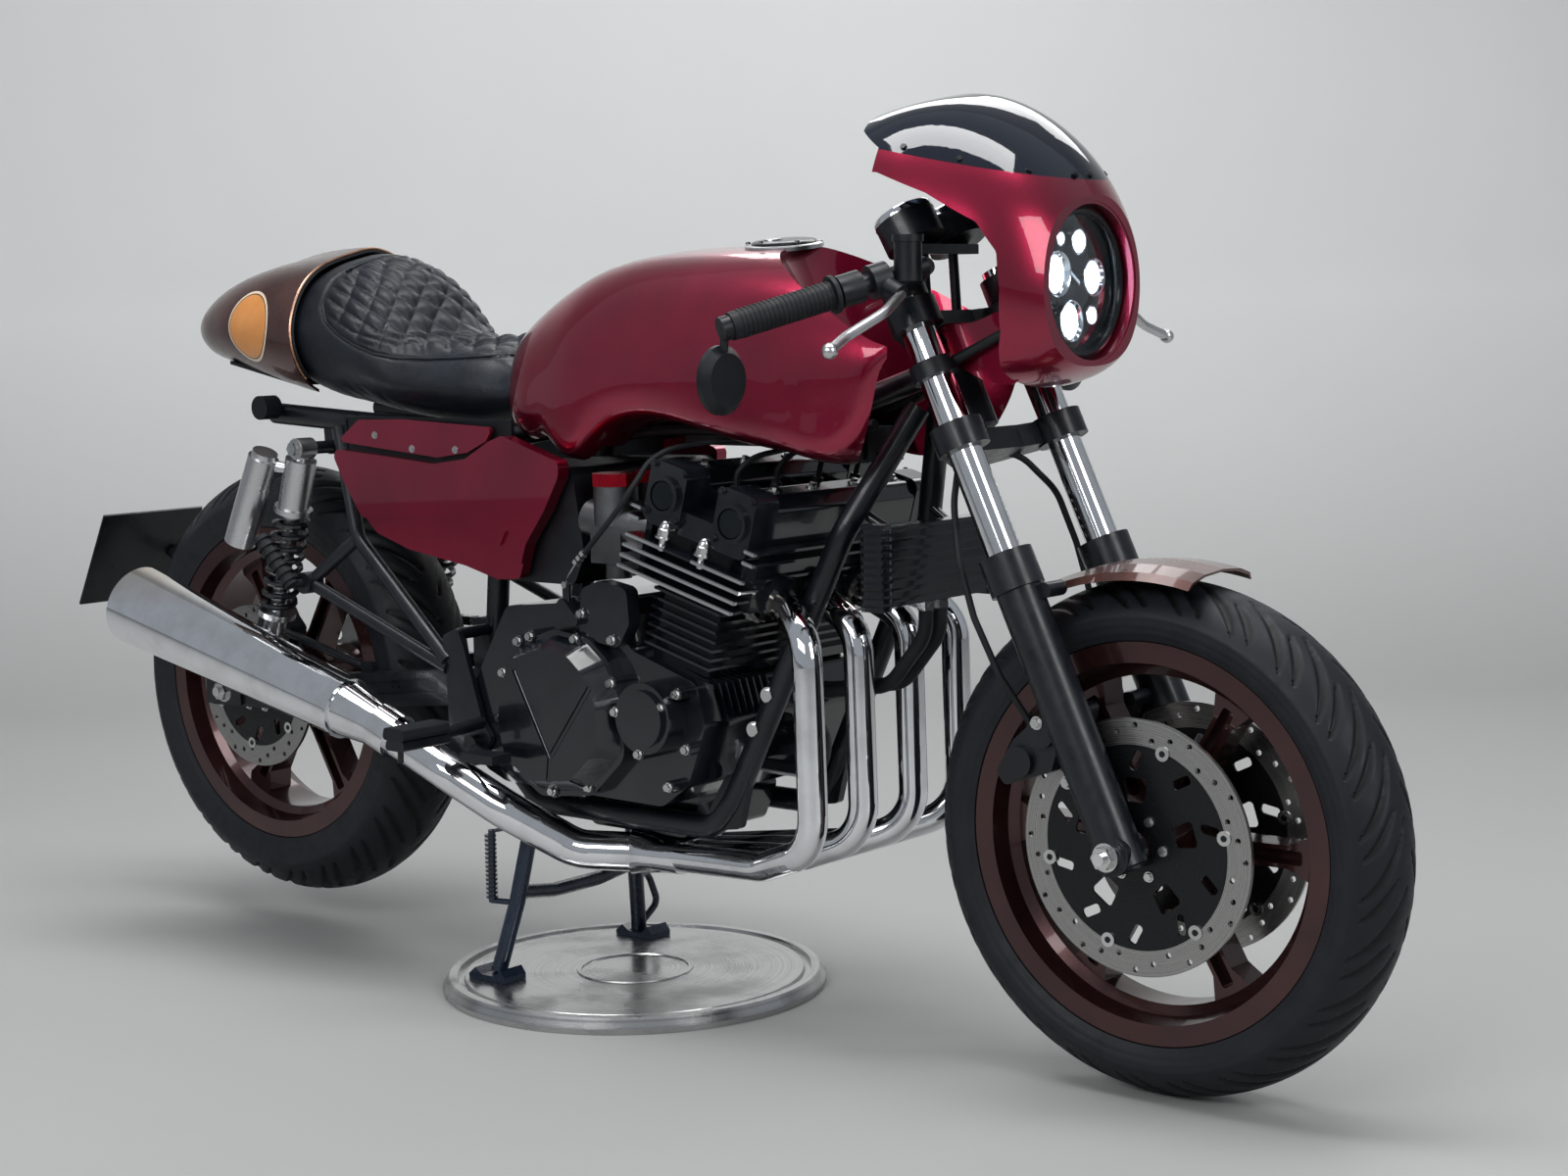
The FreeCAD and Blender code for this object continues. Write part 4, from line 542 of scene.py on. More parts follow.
def block(matrix, bevel=0.0):
    """Unit cube with softened edges, put in place by a matrix."""
    bm = bmesh.new()
    bmesh.ops.create_cube(bm, size=1.0)
    if bevel:
        bmesh.ops.bevel(bm, geom=bm.edges[:], offset=bevel, segments=2, affect="EDGES")
    bmesh.ops.transform(bm, matrix=matrix, verts=bm.verts)
    return bm


def surface_of(*names):
    """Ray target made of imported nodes."""
    verts, faces = [], []
    for name in names:
        start = len(verts)
        verts += [v.co.copy() for v in NODES[name].data.vertices]
        faces += [[start + i for i in p.vertices] for p in NODES[name].data.polygons]
    return BVHTree.FromPolygons(verts, faces)


def hits(tree, rays, reach):
    """Places and normals where rays, each a start and a direction, meet a surface."""
    found = (tree.ray_cast(Vector(start), Vector(aim), reach) for start, aim in rays)
    return [hit[:2] for hit in found if hit[0] is not None]


def ring_places(centre, y, r, count, first):
    """Places round an axle, from a first angle in degrees."""
    return [(centre.x + r * cos(a), y, centre.z + r * sin(a)) for a in turns(count, first)]


def both_sides(places):
    """Each place (x, y, z) on the right and on the left."""
    return [Vector((x, s * y, z)) for x, y, z in places for s in (-1, 1)]


def on_flanks(tree, places, start, reach, near):
    """Where lines at (x, z) meet both flanks from outside, or the nearest place where none is met."""
    found = []
    for x, z in places:
        for s in (-1, 1):
            hit = tree.ray_cast(Vector((x, s * start, z)), Vector((0, -s, 0)), reach)[0]
            found.append(hit or tree.find_nearest(Vector((x, s * near, z)))[0])
    return found


def camera_axes():
    """The photograph's viewpoint: forward, right and up."""
    ahead = Vector((-sin(YAW) * cos(PITCH), cos(YAW) * cos(PITCH), sin(PITCH)))
    right = Vector((cos(YAW), sin(YAW), 0.0))
    up = right.cross(ahead)
    return ahead, right * cos(ROLL) + up * sin(ROLL), up * cos(ROLL) - right * sin(ROLL)


# Stage


def make_camera():
    """Camera at the photograph's viewpoint."""
    ahead, right, up = camera_axes()
    data = bpy.data.cameras.new("photo_view")
    data.sensor_fit = "HORIZONTAL"
    data.sensor_width = SENSOR
    data.lens = FOCAL * SENSOR / PHOTO_WIDTH
    data.clip_start, data.clip_end = 0.05, 60.0
    cam = placed("photo_view", data)
    turn = Matrix((right, up, -ahead)).transposed().to_4x4()
    cam.matrix_world = Matrix.Translation(CAMERA_PLACE) @ turn
    bpy.context.scene.camera = cam


def backdrop_material(name, floor, wall):
    """Plain pale surface, darker on the floor than up the wall, and clear from its back."""
    mat, tree = new_material(name, specular=0.25, Roughness=0.55)
    height = axes_of(tree, object_point(tree))[2]
    tone = blended(tree, ranged(tree, height, 0.0, 0.9), floor, wall)
    patchy = patches(tree, 1.1, 3.0, 0.3, 0.7, 0.0, 0.05)
    feed(tree, Base_Color=blended(tree, patchy, tone, tuple(0.5 * c for c in floor)))
    both = tree.nodes.new("ShaderNodeMixShader")
    sources = (add(tree, "ShaderNodeNewGeometry").outputs["Backfacing"],
               tree.nodes["Principled BSDF"].outputs[0],
               add(tree, "ShaderNodeBsdfTransparent").outputs[0])
    for source, socket in zip(sources, both.inputs):
        tree.links.new(source, socket)
    tree.links.new(both.outputs[0], tree.nodes["Material Output"].inputs["Surface"])
    return mat


# Softboxes: name, place, aim, size and power
LAMPS = (("overhead", (0.3, -0.3, 4.2), (0.1, 0, 0.4), (4.2, 1.4), 150),
         ("right_side", (0.6, -4.2, 2.6), (0, 0, 0.5), (3.4, 1.2), 84),
         ("front_side", (4.4, -0.6, 2.4), (0.2, 0, 0.6), (1.4, 2.2), 56),
         ("left_side", (-0.9, 2.7, 3.0), (0, 0, 0.5), (3.0, 1.0), 30))


def make_softboxes():
    """Area lamps overhead and at the sides, hidden from the camera."""
    for name, at, towards, size, power in LAMPS:
        light = bpy.data.lights.new(name, "AREA")
        light.shape = "RECTANGLE"
        light.size, light.size_y = size
        light.energy = power
        ob = placed(name, light)
        ob.location = at
        ob.rotation_euler = (Vector(towards) - Vector(at)).to_track_quat("-Z", "Y").to_euler()
        ob.visible_camera = False


def make_room():
    """Pale floor that turns up to a pale wall behind, and more floor beyond the wall."""
    bm = bmesh.new()
    reach, depth, bend_start, bend, drop = 9.0, 6.2, 2.4, 1.0, 0.0005
    out, across = Vector((-sin(YAW), cos(YAW), 0)), Vector((cos(YAW), sin(YAW), 0))
    rows = [(-reach, 0.0), (0.0, 0.0), (bend_start, 0.0)]
    rows += [(bend_start + bend * sin(a), bend - cos(a)) for a in (radians(10 * k) for k in range(1, 10))]
    rows += [(bend_start + bend, depth)]
    grid = []
    for ahead, z in rows:
        grid.append([bm.verts.new(out * ahead + across * s + Vector((0, 0, z - drop)))
                     for s in (-reach, 0, reach)])
    for low, high in zip(grid, grid[1:]):
        for i in range(2):
            bm.faces.new((low[i], low[i + 1], high[i + 1], high[i]))
    corners = ((bend_start, -reach), (bend_start, reach), (reach, reach), (reach, -reach))
    bm.faces.new([bm.verts.new(out * ahead + across * s - Vector((0, 0, 2 * drop)))
                  for ahead, s in corners])
    bm.normal_update()
    turned = [f for f in bm.faces if f.normal.z < 0 or f.normal.dot(out) > 0.1]
    bmesh.ops.reverse_faces(bm, faces=turned)
    mesh = bpy.data.meshes.new("floor_and_wall")
    bm.to_mesh(mesh)
    bm.free()
    mesh.shade_smooth()
    mesh.materials.append(backdrop_material("pale_studio", (0.40, 0.404, 0.40), (0.74, 0.75, 0.745)))
    placed("floor_and_wall", mesh)


def make_sky():
    """Cool light from all round, brighter where the camera or a glossy surface sees it."""
    world = bpy.data.worlds.new("pale_room")
    world.use_nodes = True
    tree = world.node_tree
    back = tree.nodes["Background"]
    back.inputs[0].default_value = (0.82, 0.88, 0.96, 1.0)
    path = add(tree, "ShaderNodeLightPath")
    seen = ranged(tree, path.outputs["Is Camera Ray"], 0.0, 1.0, 0.20, 0.60)
    mirrored = ranged(tree, path.outputs["Is Glossy Ray"], 0.0, 1.0, 0.0, 0.16)
    tree.links.new(sums(tree, "ADD", seen, mirrored), back.inputs[1])
    bpy.context.scene.world = world
    bpy.context.scene.view_settings.view_transform = "Standard"


# Repeats by Geometry Nodes


def instance_tree(name, sizes, shape):
    """A tree that puts one shape on each point, turned to the point's own direction."""
    tree = bpy.data.node_groups.new(name, "GeometryNodeTree")
    face = tree.interface
    face.new_socket("Geometry", in_out="INPUT", socket_type="NodeSocketGeometry")
    for size, default in sizes:
        kind = "NodeSocketInt" if isinstance(default, int) else "NodeSocketFloat"
        face.new_socket(size, in_out="INPUT", socket_type=kind).default_value = default
    face.new_socket("Finish", in_out="INPUT", socket_type="NodeSocketMaterial")
    face.new_socket("Geometry", in_out="OUTPUT", socket_type="NodeSocketGeometry")
    make, link = tree.nodes.new, tree.links.new
    start, end = make("NodeGroupInput"), make("NodeGroupOutput")
    aim = make("GeometryNodeInputNamedAttribute")
    aim.data_type = "FLOAT_VECTOR"
    aim.inputs[0].default_value = "aim"
    turn = make("FunctionNodeAlignRotationToVector")
    turn.axis = "Z"
    put = make("GeometryNodeInstanceOnPoints")
    real, paint = make("GeometryNodeRealizeInstances"), make("GeometryNodeSetMaterial")
    for source, socket in (
            (aim.outputs[0], turn.inputs["Vector"]),
            (start.outputs["Geometry"], put.inputs["Points"]),
            (shape(make, link, start), put.inputs["Instance"]),
            (turn.outputs[0], put.inputs["Rotation"]),
            (put.outputs[0], real.inputs[0]),
            (real.outputs[0], paint.inputs["Geometry"]),
            (start.outputs["Finish"], paint.inputs["Material"]),
            (paint.outputs[0], end.inputs[0])):
        link(source, socket)
    return tree


def bolt_shape(make, link, start):
    """Washer with a hexagonal or round head on it."""
    both = make("GeometryNodeJoinGeometry")
    for radius, height, lift, sides in (("Head radius", "Head height", 0.0012, "Sides"),
                                        ("Washer radius", None, 0.0, None)):
        can, move = make("GeometryNodeMeshCylinder"), make("GeometryNodeTransform")
        up, half = make("ShaderNodeCombineXYZ"), make("ShaderNodeMath")
        half.operation = "MULTIPLY_ADD"
        half.inputs[1].default_value, half.inputs[2].default_value = 0.5, lift
        link(start.outputs[radius], can.inputs["Radius"])
        if height:
            link(start.outputs[height], can.inputs["Depth"])
            link(start.outputs[height], half.inputs[0])
            link(start.outputs[sides], can.inputs["Vertices"])
        else:
            can.inputs["Depth"].default_value = half.inputs[0].default_value = 0.0014
            can.inputs["Vertices"].default_value = 20
        link(half.outputs[0], up.inputs[2])
        link(can.outputs["Mesh"], move.inputs["Geometry"])
        link(up.outputs[0], move.inputs["Translation"])
        link(move.outputs[0], both.inputs[0])
    return both.outputs[0]


def rod_shape(make, link, start):
    """Round or many-sided rod about the point."""
    can = make("GeometryNodeMeshCylinder")
    for size, socket in (("Radius", "Radius"), ("Length", "Depth"), ("Sides", "Vertices")):
        link(start.outputs[size], can.inputs[socket])
    return can.outputs["Mesh"]


def set_inputs(modifier, tree, values):
    """A modifier's inputs by the sockets' names, written through their identifiers."""
    for item in tree.interface.items_tree:
        if item.item_type == "SOCKET" and item.in_out == "INPUT" and item.name in values:
            modifier[item.identifier] = values[item.name]


def repeated(name, tree, points, aim, finish, body, values):
    """Runs a tree over points with one or many directions, and keeps the result as a plain mesh."""
    aims = aim if isinstance(aim, list) else [aim] * len(points)
    mesh = bpy.data.meshes.new(name)
    mesh.from_pydata([tuple(p) for p in points], [], [])
    directions = mesh.attributes.new("aim", "FLOAT_VECTOR", "POINT")
    directions.data.foreach_set("vector", [c for a in aims for c in Vector(a).normalized()])
    ob = placed(name + "_points", mesh)
    mod = ob.modifiers.new("repeat", "NODES")
    mod.node_group = tree
    set_inputs(mod, tree, {"Finish": FINISH[finish], **values})
    ob.update_tag()
    made = baked(ob)
    ob.modifiers.remove(mod)
    bpy.data.objects.remove(ob)
    made.name = name
    return finished(name, made, finish, body)


def bolts(name, points, head, height, washer, sides=6, aim=None, finish="bright_steel", body="chassis"):
    """Bolts along a direction or a list of them, or else out of the side that each is on."""
    aim = aim or [(0, copysign(1, p[1]), 0) for p in points]
    sizes = {"Head radius": head, "Head height": height, "Washer radius": washer, "Sides": sides}
    return repeated(name, TREES["bolts"], points, aim, finish, body, sizes)


def rods(name, points, aim, radius, length, sides=16, finish="bright_steel", body="chassis"):
    """Rods about their points, along a direction or a list of them."""
    sizes = {"Radius": radius, "Length": length, "Sides": sides}
    return repeated(name, TREES["rods"], points, aim, finish, body, sizes)


TREES = {}


def make_trees():
    """The two shapes that are repeated: bolt heads and rods."""
    TREES["bolts"] = instance_tree("bolt_heads", (("Head radius", 0.005), ("Head height", 0.004),
                                                  ("Washer radius", 0.007), ("Sides", 6)), bolt_shape)
    TREES["rods"] = instance_tree("short_rods", (("Radius", 0.004), ("Length", 0.01), ("Sides", 16)),
                                  rod_shape)


# Tyres


GROOVE_DEPTH = 0.0040
WALL_RING, WALL_RING_STEP = 0.0006, 0.0021


def arc_points(a, m, b, count):
    """Points on the circle arc from a through m to b, in the (y, r) plane, b left out."""
    d = 2 * (a[0] * (m[1] - b[1]) + m[0] * (b[1] - a[1]) + b[0] * (a[1] - m[1]))
    sq = [p[0] ** 2 + p[1] ** 2 for p in (a, m, b)]
    cx = (sq[0] * (m[1] - b[1]) + sq[1] * (b[1] - a[1]) + sq[2] * (a[1] - m[1])) / d
    cy = (sq[0] * (b[0] - m[0]) + sq[1] * (a[0] - b[0]) + sq[2] * (m[0] - a[0])) / d
    r = hypot(a[0] - cx, a[1] - cy)
    t0, tm, t1 = (atan2(p[1] - cy, p[0] - cx) for p in (a, m, b))
    while t1 - t0 > pi:
        t1 -= 2 * pi
    while t1 - t0 < -pi:
        t1 += 2 * pi
    if not min(t0, t1) - 1e-6 <= tm <= max(t0, t1) + 1e-6:
        t1 += -2 * pi if t1 > t0 else 2 * pi
    turns = (t0 + (t1 - t0) * i / count for i in range(count))
    return [(cx + r * cos(t), cy + r * sin(t)) for t in turns]


def groove_depth(turn, across, repeats, sweep):
    """How deep the tread is cut at an angle and a share of the half width: 0 to 1."""
    side = 1.0 if across >= 0 else 0.5
    t = abs(across)
    deep = 0.0
    for offset, t0, t1, width, bend in ((0.0, 0.06, 0.93, 0.21, sweep),
                                        (0.5, 0.30, 0.92, 0.17, sweep * 0.9)):
        if not t0 < t < t1:
            continue
        gap = abs((turn * repeats + side + offset - bend * t ** 0.75) % 1.0 - 0.5)
        half = width * sin(pi * (t - t0) / (t1 - t0)) ** 0.55 * 0.5
        if half > 0.003:
            deep = max(deep, min(1.0, max(0.0, (half * 1.35 - gap) / (half * 0.7))))
    return deep


def make_tyre(name, node, centre, r, width, rim_w, wall, repeats, sweep, direction):
    """Tyre with cut tread grooves and turned side wall rings, in place of the plain one."""
    h, flange = width / 2, r - wall
    shoulder, crown = (h, r - 0.56 * wall), (0.0, r)
    tread, mid_wall = (h * 0.62, r - 0.17 * wall), (h * 0.96, r - 0.8 * wall)
    lip = (rim_w / 2 + 0.001, flange + 0.0015)
    half = arc_points(crown, tread, shoulder, 26) + arc_points(shoulder, mid_wall, lip, 12) + [lip]
    half += [(rim_w / 2 - 0.0055, flange + 0.0015), (rim_w / 2 - 0.0055, flange - 0.0155)]
    profile = [(-y, q) for y, q in half[:0:-1]] + half
    around = 700
    verts, faces, cut = [], [], []
    reach = h * 0.985
    for i in range(around):
        a = 2 * pi * i / around
        for y, q in profile:
            deep = 0.0
            if q > r - 0.53 * wall:
                deep = groove_depth(direction * i / around, y / reach, repeats, sweep)
            if r - 0.60 * wall > q > flange + 0.004 and int((q - flange) / WALL_RING_STEP) % 4 == 1:
                y = y + copysign(WALL_RING, y)
            k = q - GROOVE_DEPTH * deep
            verts.append((centre.x + k * cos(a), y, centre.z + k * sin(a)))
            cut.append(deep)
    n = len(profile)
    for i in range(around):
        j = (i + 1) % around
        for k in range(n):
            m = (k + 1) % n
            faces.append((i * n + k, i * n + m, j * n + m, j * n + k))
    mesh = bpy.data.meshes.new(name)
    mesh.from_pydata(verts, [], faces)
    # Groove depth kept on each point; the tyre material paints shade in the grooves from it
    layer = mesh.attributes.new("groove", "FLOAT", "POINT")
    layer.data.foreach_set("value", cut)
    turn_outward(mesh)
    ob = finished(name, mesh, node, node.replace("tyre", "wheel"))
    mesh.set_sharp_from_angle(angle=radians(55))
    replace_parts(ob, node)


def make_tyres():
    """Both tyres: radius, width, rim width, wall height, tread repeats, sweep and direction."""
    make_tyre("front_tread_tyre", "front_tyre", FRONT_AXLE, 0.300, 0.120, 0.104, 0.068, 25, 1.55, -1)
    make_tyre("rear_tread_tyre", "rear_tyre", REAR_AXLE, 0.321, 0.150, 0.132, 0.089, 24, 1.45, 1)


# Seat


# Lines in (x, z) as seen from the side: the panel's top from its front, and its sewn border
SEAT_TOP = [(-0.100, 0.872), (-0.160, 0.868), (-0.282, 0.868), (-0.320, 0.886), (-0.354, 0.936),
            (-0.386, 0.969), (-0.434, 0.988), (-0.488, 0.995)]
PANEL_EDGE = [(-0.452, 1.010), (-0.456, 0.985), (-0.462, 0.955), (-0.460, 0.925), (-0.446, 0.902),
              (-0.418, 0.884), (-0.385, 0.869), (-0.350, 0.857), (-0.318, 0.851), (-0.270, 0.849),
              (-0.224, 0.850), (-0.142, 0.854), (-0.060, 0.866)]
HUMP_START = -0.282
VOXEL, START_INSET, SWELL_LIMIT = 0.005, 0.003, 0.006
AIR_PRESSURE, SWELL_FRAMES = 4.0, 20
BORDER, VALLEY_DEPTH, VALLEY_WIDTH, FOLD_HEIGHT = 0.004, 0.0030, 0.0032, 0.0008
WELT_R, STITCH_STEP, STITCH_OFFSET = 0.0021, 0.006, 0.0055


def beside_edge(x, z):
    """Signed distance from the panel's border as seen from the side; inside is positive."""
    best = (1e9, 0.0)
    for (x0, z0), (x1, z1) in zip(PANEL_EDGE, PANEL_EDGE[1:]):
        dx, dz = x1 - x0, z1 - z0
        t = min(1.0, max(0.0, ((x - x0) * dx + (z - z0) * dz) / (dx * dx + dz * dz)))
        ox, oz = x - x0 - t * dx, z - z0 - t * dz
        gap = hypot(ox, oz)
        if gap < best[0]:
            best = (gap, copysign(gap, dx * oz - dz * ox))
    return best[1]


def on_panel(x, y, z):
    """Place on the unrolled panel: length from the front, and distance from the middle."""
    if x > HUMP_START:
        return SEAT_TOP[0][0] - x, abs(y)
    height = min(max(z, 0.868), 0.995)
    length = 0.0
    for (x0, z0), (x1, z1) in zip(SEAT_TOP, SEAT_TOP[1:]):
        size = hypot(x1 - x0, z1 - z0)
        if x0 <= HUMP_START and z0 <= height <= z1 and z1 > z0:
            t = (height - z0) / (z1 - z0)
            return length + t * size, abs(y) + 0.85 * max(0.0, x0 + t * (x1 - x0) - x)
        length += size
    return length, abs(y)


def make_seat(pitch, puff):
    """Padded seat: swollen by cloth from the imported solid, then quilted."""
    mesh = NODES["seat"].data.copy()
    turn_outward(mesh, 1e-5)
    ob = placed("quilted_seat", mesh)
    remesh = ob.modifiers.new("even", "REMESH")
    remesh.mode = "VOXEL"
    remesh.voxel_size = VOXEL
    plain = baked(ob)
    ob.modifiers.clear()
    ob.data = plain
    plain.materials.clear()
    start = [v.co - v.normal * START_INSET for v in plain.vertices]
    for v, c in zip(plain.vertices, start):
        v.co = c
    swell(ob)
    for v, c in zip(ob.data.vertices, start):
        step = v.co - c
        v.co = c + step * min(1.0, SWELL_LIMIT / max(step.length, 1e-9))
    smooth = ob.modifiers.new("soft", "SMOOTH")
    smooth.factor, smooth.iterations = 0.5, 6
    finer = ob.modifiers.new("finer", "SUBSURF")
    finer.levels = finer.render_levels = 1
    fine = baked(ob)
    ob.modifiers.clear()
    ob.data = fine
    quilt(fine, pitch, puff)
    fine.materials.clear()
    fine.materials.append(FINISH["leather"])
    fine.shade_smooth()
    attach(ob, "chassis")
    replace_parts(ob, "seat")
    return ob


def swell(ob):
    """Twenty frames of cloth with air inside and no gravity, applied to the mesh."""
    cloth = ob.modifiers.new("air", "CLOTH")
    settings = cloth.settings
    settings.use_pressure = True
    settings.uniform_pressure_force = AIR_PRESSURE
    settings.effector_weights.gravity = 0.0
    settings.tension_stiffness = settings.compression_stiffness = 40.0
    settings.quality = 4
    scene = bpy.context.scene
    for f in range(1, SWELL_FRAMES + 1):
        scene.frame_set(f)
    made = baked(ob)
    ob.modifiers.remove(cloth)
    ob.data = made
    scene.frame_set(1)


def quilt(mesh, pitch, puff):
    """Diamond channels over the panel, a sewn valley at its border, and folds at the channels."""
    normals = [v.normal.copy() for v in mesh.vertices]
    for v, n in zip(mesh.vertices, normals):
        x, y, z = v.co
        inside = beside_edge(x, z)
        if n.z < -0.1 or inside < -0.006 or x > -0.07:
            continue
        if inside < BORDER:
            v.co -= n * (VALLEY_DEPTH * exp(-(inside / VALLEY_WIDTH) ** 2))
            continue
        s, across = on_panel(x, y, z)
        lift = (abs(sin(pi * (s + across) / pitch)) * abs(sin(pi * (s - across) / pitch))) ** 0.5
        edge = min(1.0, (inside - BORDER) / 0.012)
        crease = FOLD_HEIGHT * noise.noise(v.co * 150.0) * (1.0 - lift)
        v.co += n * ((puff * (lift - 0.45) + crease) * edge)


def make_welt(seat):
    """Piping on the panel's border, laid on the swollen surface, and stitches beside it."""
    mesh = seat.data
    tree = BVHTree.FromPolygons([v.co for v in mesh.vertices], [list(p.vertices) for p in mesh.polygons])
    line = []
    for (x0, z0), (x1, z1) in zip(PANEL_EDGE[1:], PANEL_EDGE[2:]):
        steps = max(1, round(hypot(x1 - x0, z1 - z0) / 0.012))
        line += [(x0 + (x1 - x0) * k / steps, z0 + (z1 - z0) * k / steps) for k in range(steps)]
    right, left = (hits(tree, [((x, side * 0.3, z), (0, -side, 0)) for x, z in line if x < -0.125], 0.3)
                   for side in (-1, 1))
    top = hits(tree, [((-0.452, -0.088 + 0.176 * k / 12, 1.2), (0, 0, -1)) for k in range(1, 12)], 0.5)
    run = right[::-1] + top + left
    joined("seat_welt", [tube([at + n * 0.0004 for at, n in run], WELT_R, 8)], "leather")
    spots, aims = [], []
    for (a, n), (b, _) in zip(run, run[1:]):
        along = b - a
        if along.length < 1e-4:
            continue
        out = n.cross(along).normalized()
        count = max(1, int(along.length / STITCH_STEP))
        for k in range(count):
            at, normal, _, _ = tree.find_nearest(a + along * (k / count) + out * STITCH_OFFSET)
            spots.append(at + normal * 0.0003)
            aims.append(along)
    rods("seat_stitches", spots, aims, 0.0005, 0.0036, 6, "thread")


def make_dressed_seat():
    """Seat with its welt, from the panel's sizes."""
    sizes = bpy.context.scene.racer_sizes
    make_welt(make_seat(sizes.quilt_pitch, sizes.quilt_puff))


# Lamp


# Projectors (y, z, radius) and bright blades (y, z, turn in degrees) on the lamp's dish
PROJECTORS = ((-0.033, 0.010, 0.0265), (0.010, 0.047, 0.0155), (0.042, 0.006, 0.0225),
              (-0.006, -0.044, 0.0245), (0.036, -0.038, 0.012), (-0.028, 0.050, 0.009))
BLADES = ((-0.054, -0.030, 40), (0.006, 0.006, -35), (0.030, 0.052, 60), (0.060, -0.018, 75))


def lamp_ring(name, profile, segments, hollow, finish):
    """One turned piece about the lamp's axis."""
    return joined(name, [lathe(profile, LAMP, (1, 0, 0), segments, hollow)], finish, "steering")


def make_lamp():
    """Round lamp: dark dish, lit projectors in bright cups, a glass dome and a bezel."""
    lamp_ring("lamp_dish", [(0.0025, 0.0), (0.0035, 0.030), (0.006, 0.060), (0.013, 0.0785),
                            (0.0135, 0.0792), (0.0022, 0.0792)], 64, False, "plate_black")
    cups, lights = [], []
    for y, z, r in PROJECTORS:
        at = LAMP + Vector((0.004, y, z))
        cup = [(0.0, r), (0.010, r), (0.0105, r - 0.0008), (0.010, r - 0.0022), (0.002, r * 0.72),
               (0.0, r * 0.70)]
        cups.append(lathe(cup, at, (1, 0, 0), 40, True))
        dome = [(0.001 + 0.009 * sin(a), r * 0.74 * cos(a)) for a in (radians(15 * k) for k in range(6))]
        lights.append(lathe(dome + [(0.010, 0.0)], at, (1, 0, 0), 32))
    for y, z, turn in BLADES:
        place = Matrix.Translation(LAMP + Vector((0.008, y, z))) @ Matrix.Rotation(radians(turn), 4, "X")
        cups.append(block(place @ Matrix.Diagonal((0.006, 0.026, 0.004, 1.0)), 0.08))
    joined("lamp_cups", cups, "chrome", "steering")
    joined("lamp_lights", lights, "lit", "steering")
    outer = [(0.0165 + 0.0095 * (1 - (k / 8) ** 2), 0.0785 * k / 8) for k in range(9)]
    inner = [(0.0145 + 0.0093 * (1 - (k / 8) ** 2), 0.0765 * k / 8) for k in range(8, -1, -1)]
    shell = outer + [(0.0165, 0.0795), (0.0145, 0.0795)] + inner
    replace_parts(lamp_ring("lamp_glass", shell, 64, False, "lens"), "headlight_lens")
    lamp_ring("lamp_bezel", [(0.0235, 0.0788), (0.0262, 0.0800), (0.0275, 0.0835), (0.0262, 0.0872),
                             (0.0225, 0.0893), (0.0125, 0.0896), (0.0125, 0.0786)], 80, True, "plate_black")


# Bodywork


def sighted(px, py, *names):
    """Where the photograph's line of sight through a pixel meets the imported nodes."""
    ahead, right, up = camera_axes()
    ray = ahead * FOCAL + right * (px - PHOTO_WIDTH / 2) - up * (py - PHOTO_HEIGHT / 2)
    ray.normalize()
    at, normal, _, _ = surface_of(*names).ray_cast(CAMERA_PLACE, ray, 9.0)
    if at is None:
        raise RuntimeError("no surface in sight at %s, %s" % (px, py))
    return at, -normal if normal.dot(ray) > 0 else normal


def draped_disc(at, normal, radii, tree, lift):
    """Rings of points dropped onto a surface about a middle, lifted off it a little."""
    side = Vector((1, 0, 0))
    side = (side - normal * side.dot(normal)).normalized()
    up = normal.cross(side)
    bm = bmesh.new()
    rings, count = [], 72
    for r in radii:
        ring = []
        for a in turns(count if r else 1):
            spot = at + (side * cos(a) + up * sin(a)) * r
            hit = tree.ray_cast(spot + normal * 0.06, -normal, 0.16)
            ring.append(bm.verts.new((hit[0] or spot) + normal * lift))
        rings.append(ring)
    for low, high in zip(rings, rings[1:]):
        for i in range(count):
            j = (i + 1) % count
            one = len(low) == 1
            bm.faces.new((low[0], high[i], high[j]) if one else (low[i], high[i], high[j], low[j]))
    bm.normal_update()
    if bm.faces[:][0].normal.dot(normal) < 0:
        bmesh.ops.reverse_faces(bm, faces=bm.faces)
    return bm


def make_roundels():
    """Blank roundel on each side of the tail cowl: pale edge, dark line and orange middle."""
    at, normal = sighted(*ROUNDEL_PIXEL, "tail_cowl")
    tree = surface_of("tail_cowl")
    bands = (("roundel_middle", (0.0, 0.015, 0.03, 0.040, 0.0455), "roundel_orange", 0.0007),
             ("roundel_line", (0.0455, 0.0470), "roundel_ring", 0.0006),
             ("roundel_edge", (0.0470, 0.0505), "roundel_edge", 0.0007))
    for name, radii, finish, lift in bands:
        discs = []
        for side in (-1, 1):
            place = Vector((at.x, side * abs(at.y), at.z))
            face = Vector((0.35 * normal.x, side, 0.35 * normal.z)).normalized()
            discs.append(draped_disc(place, face, radii, tree, lift))
        joined(name, discs, finish)


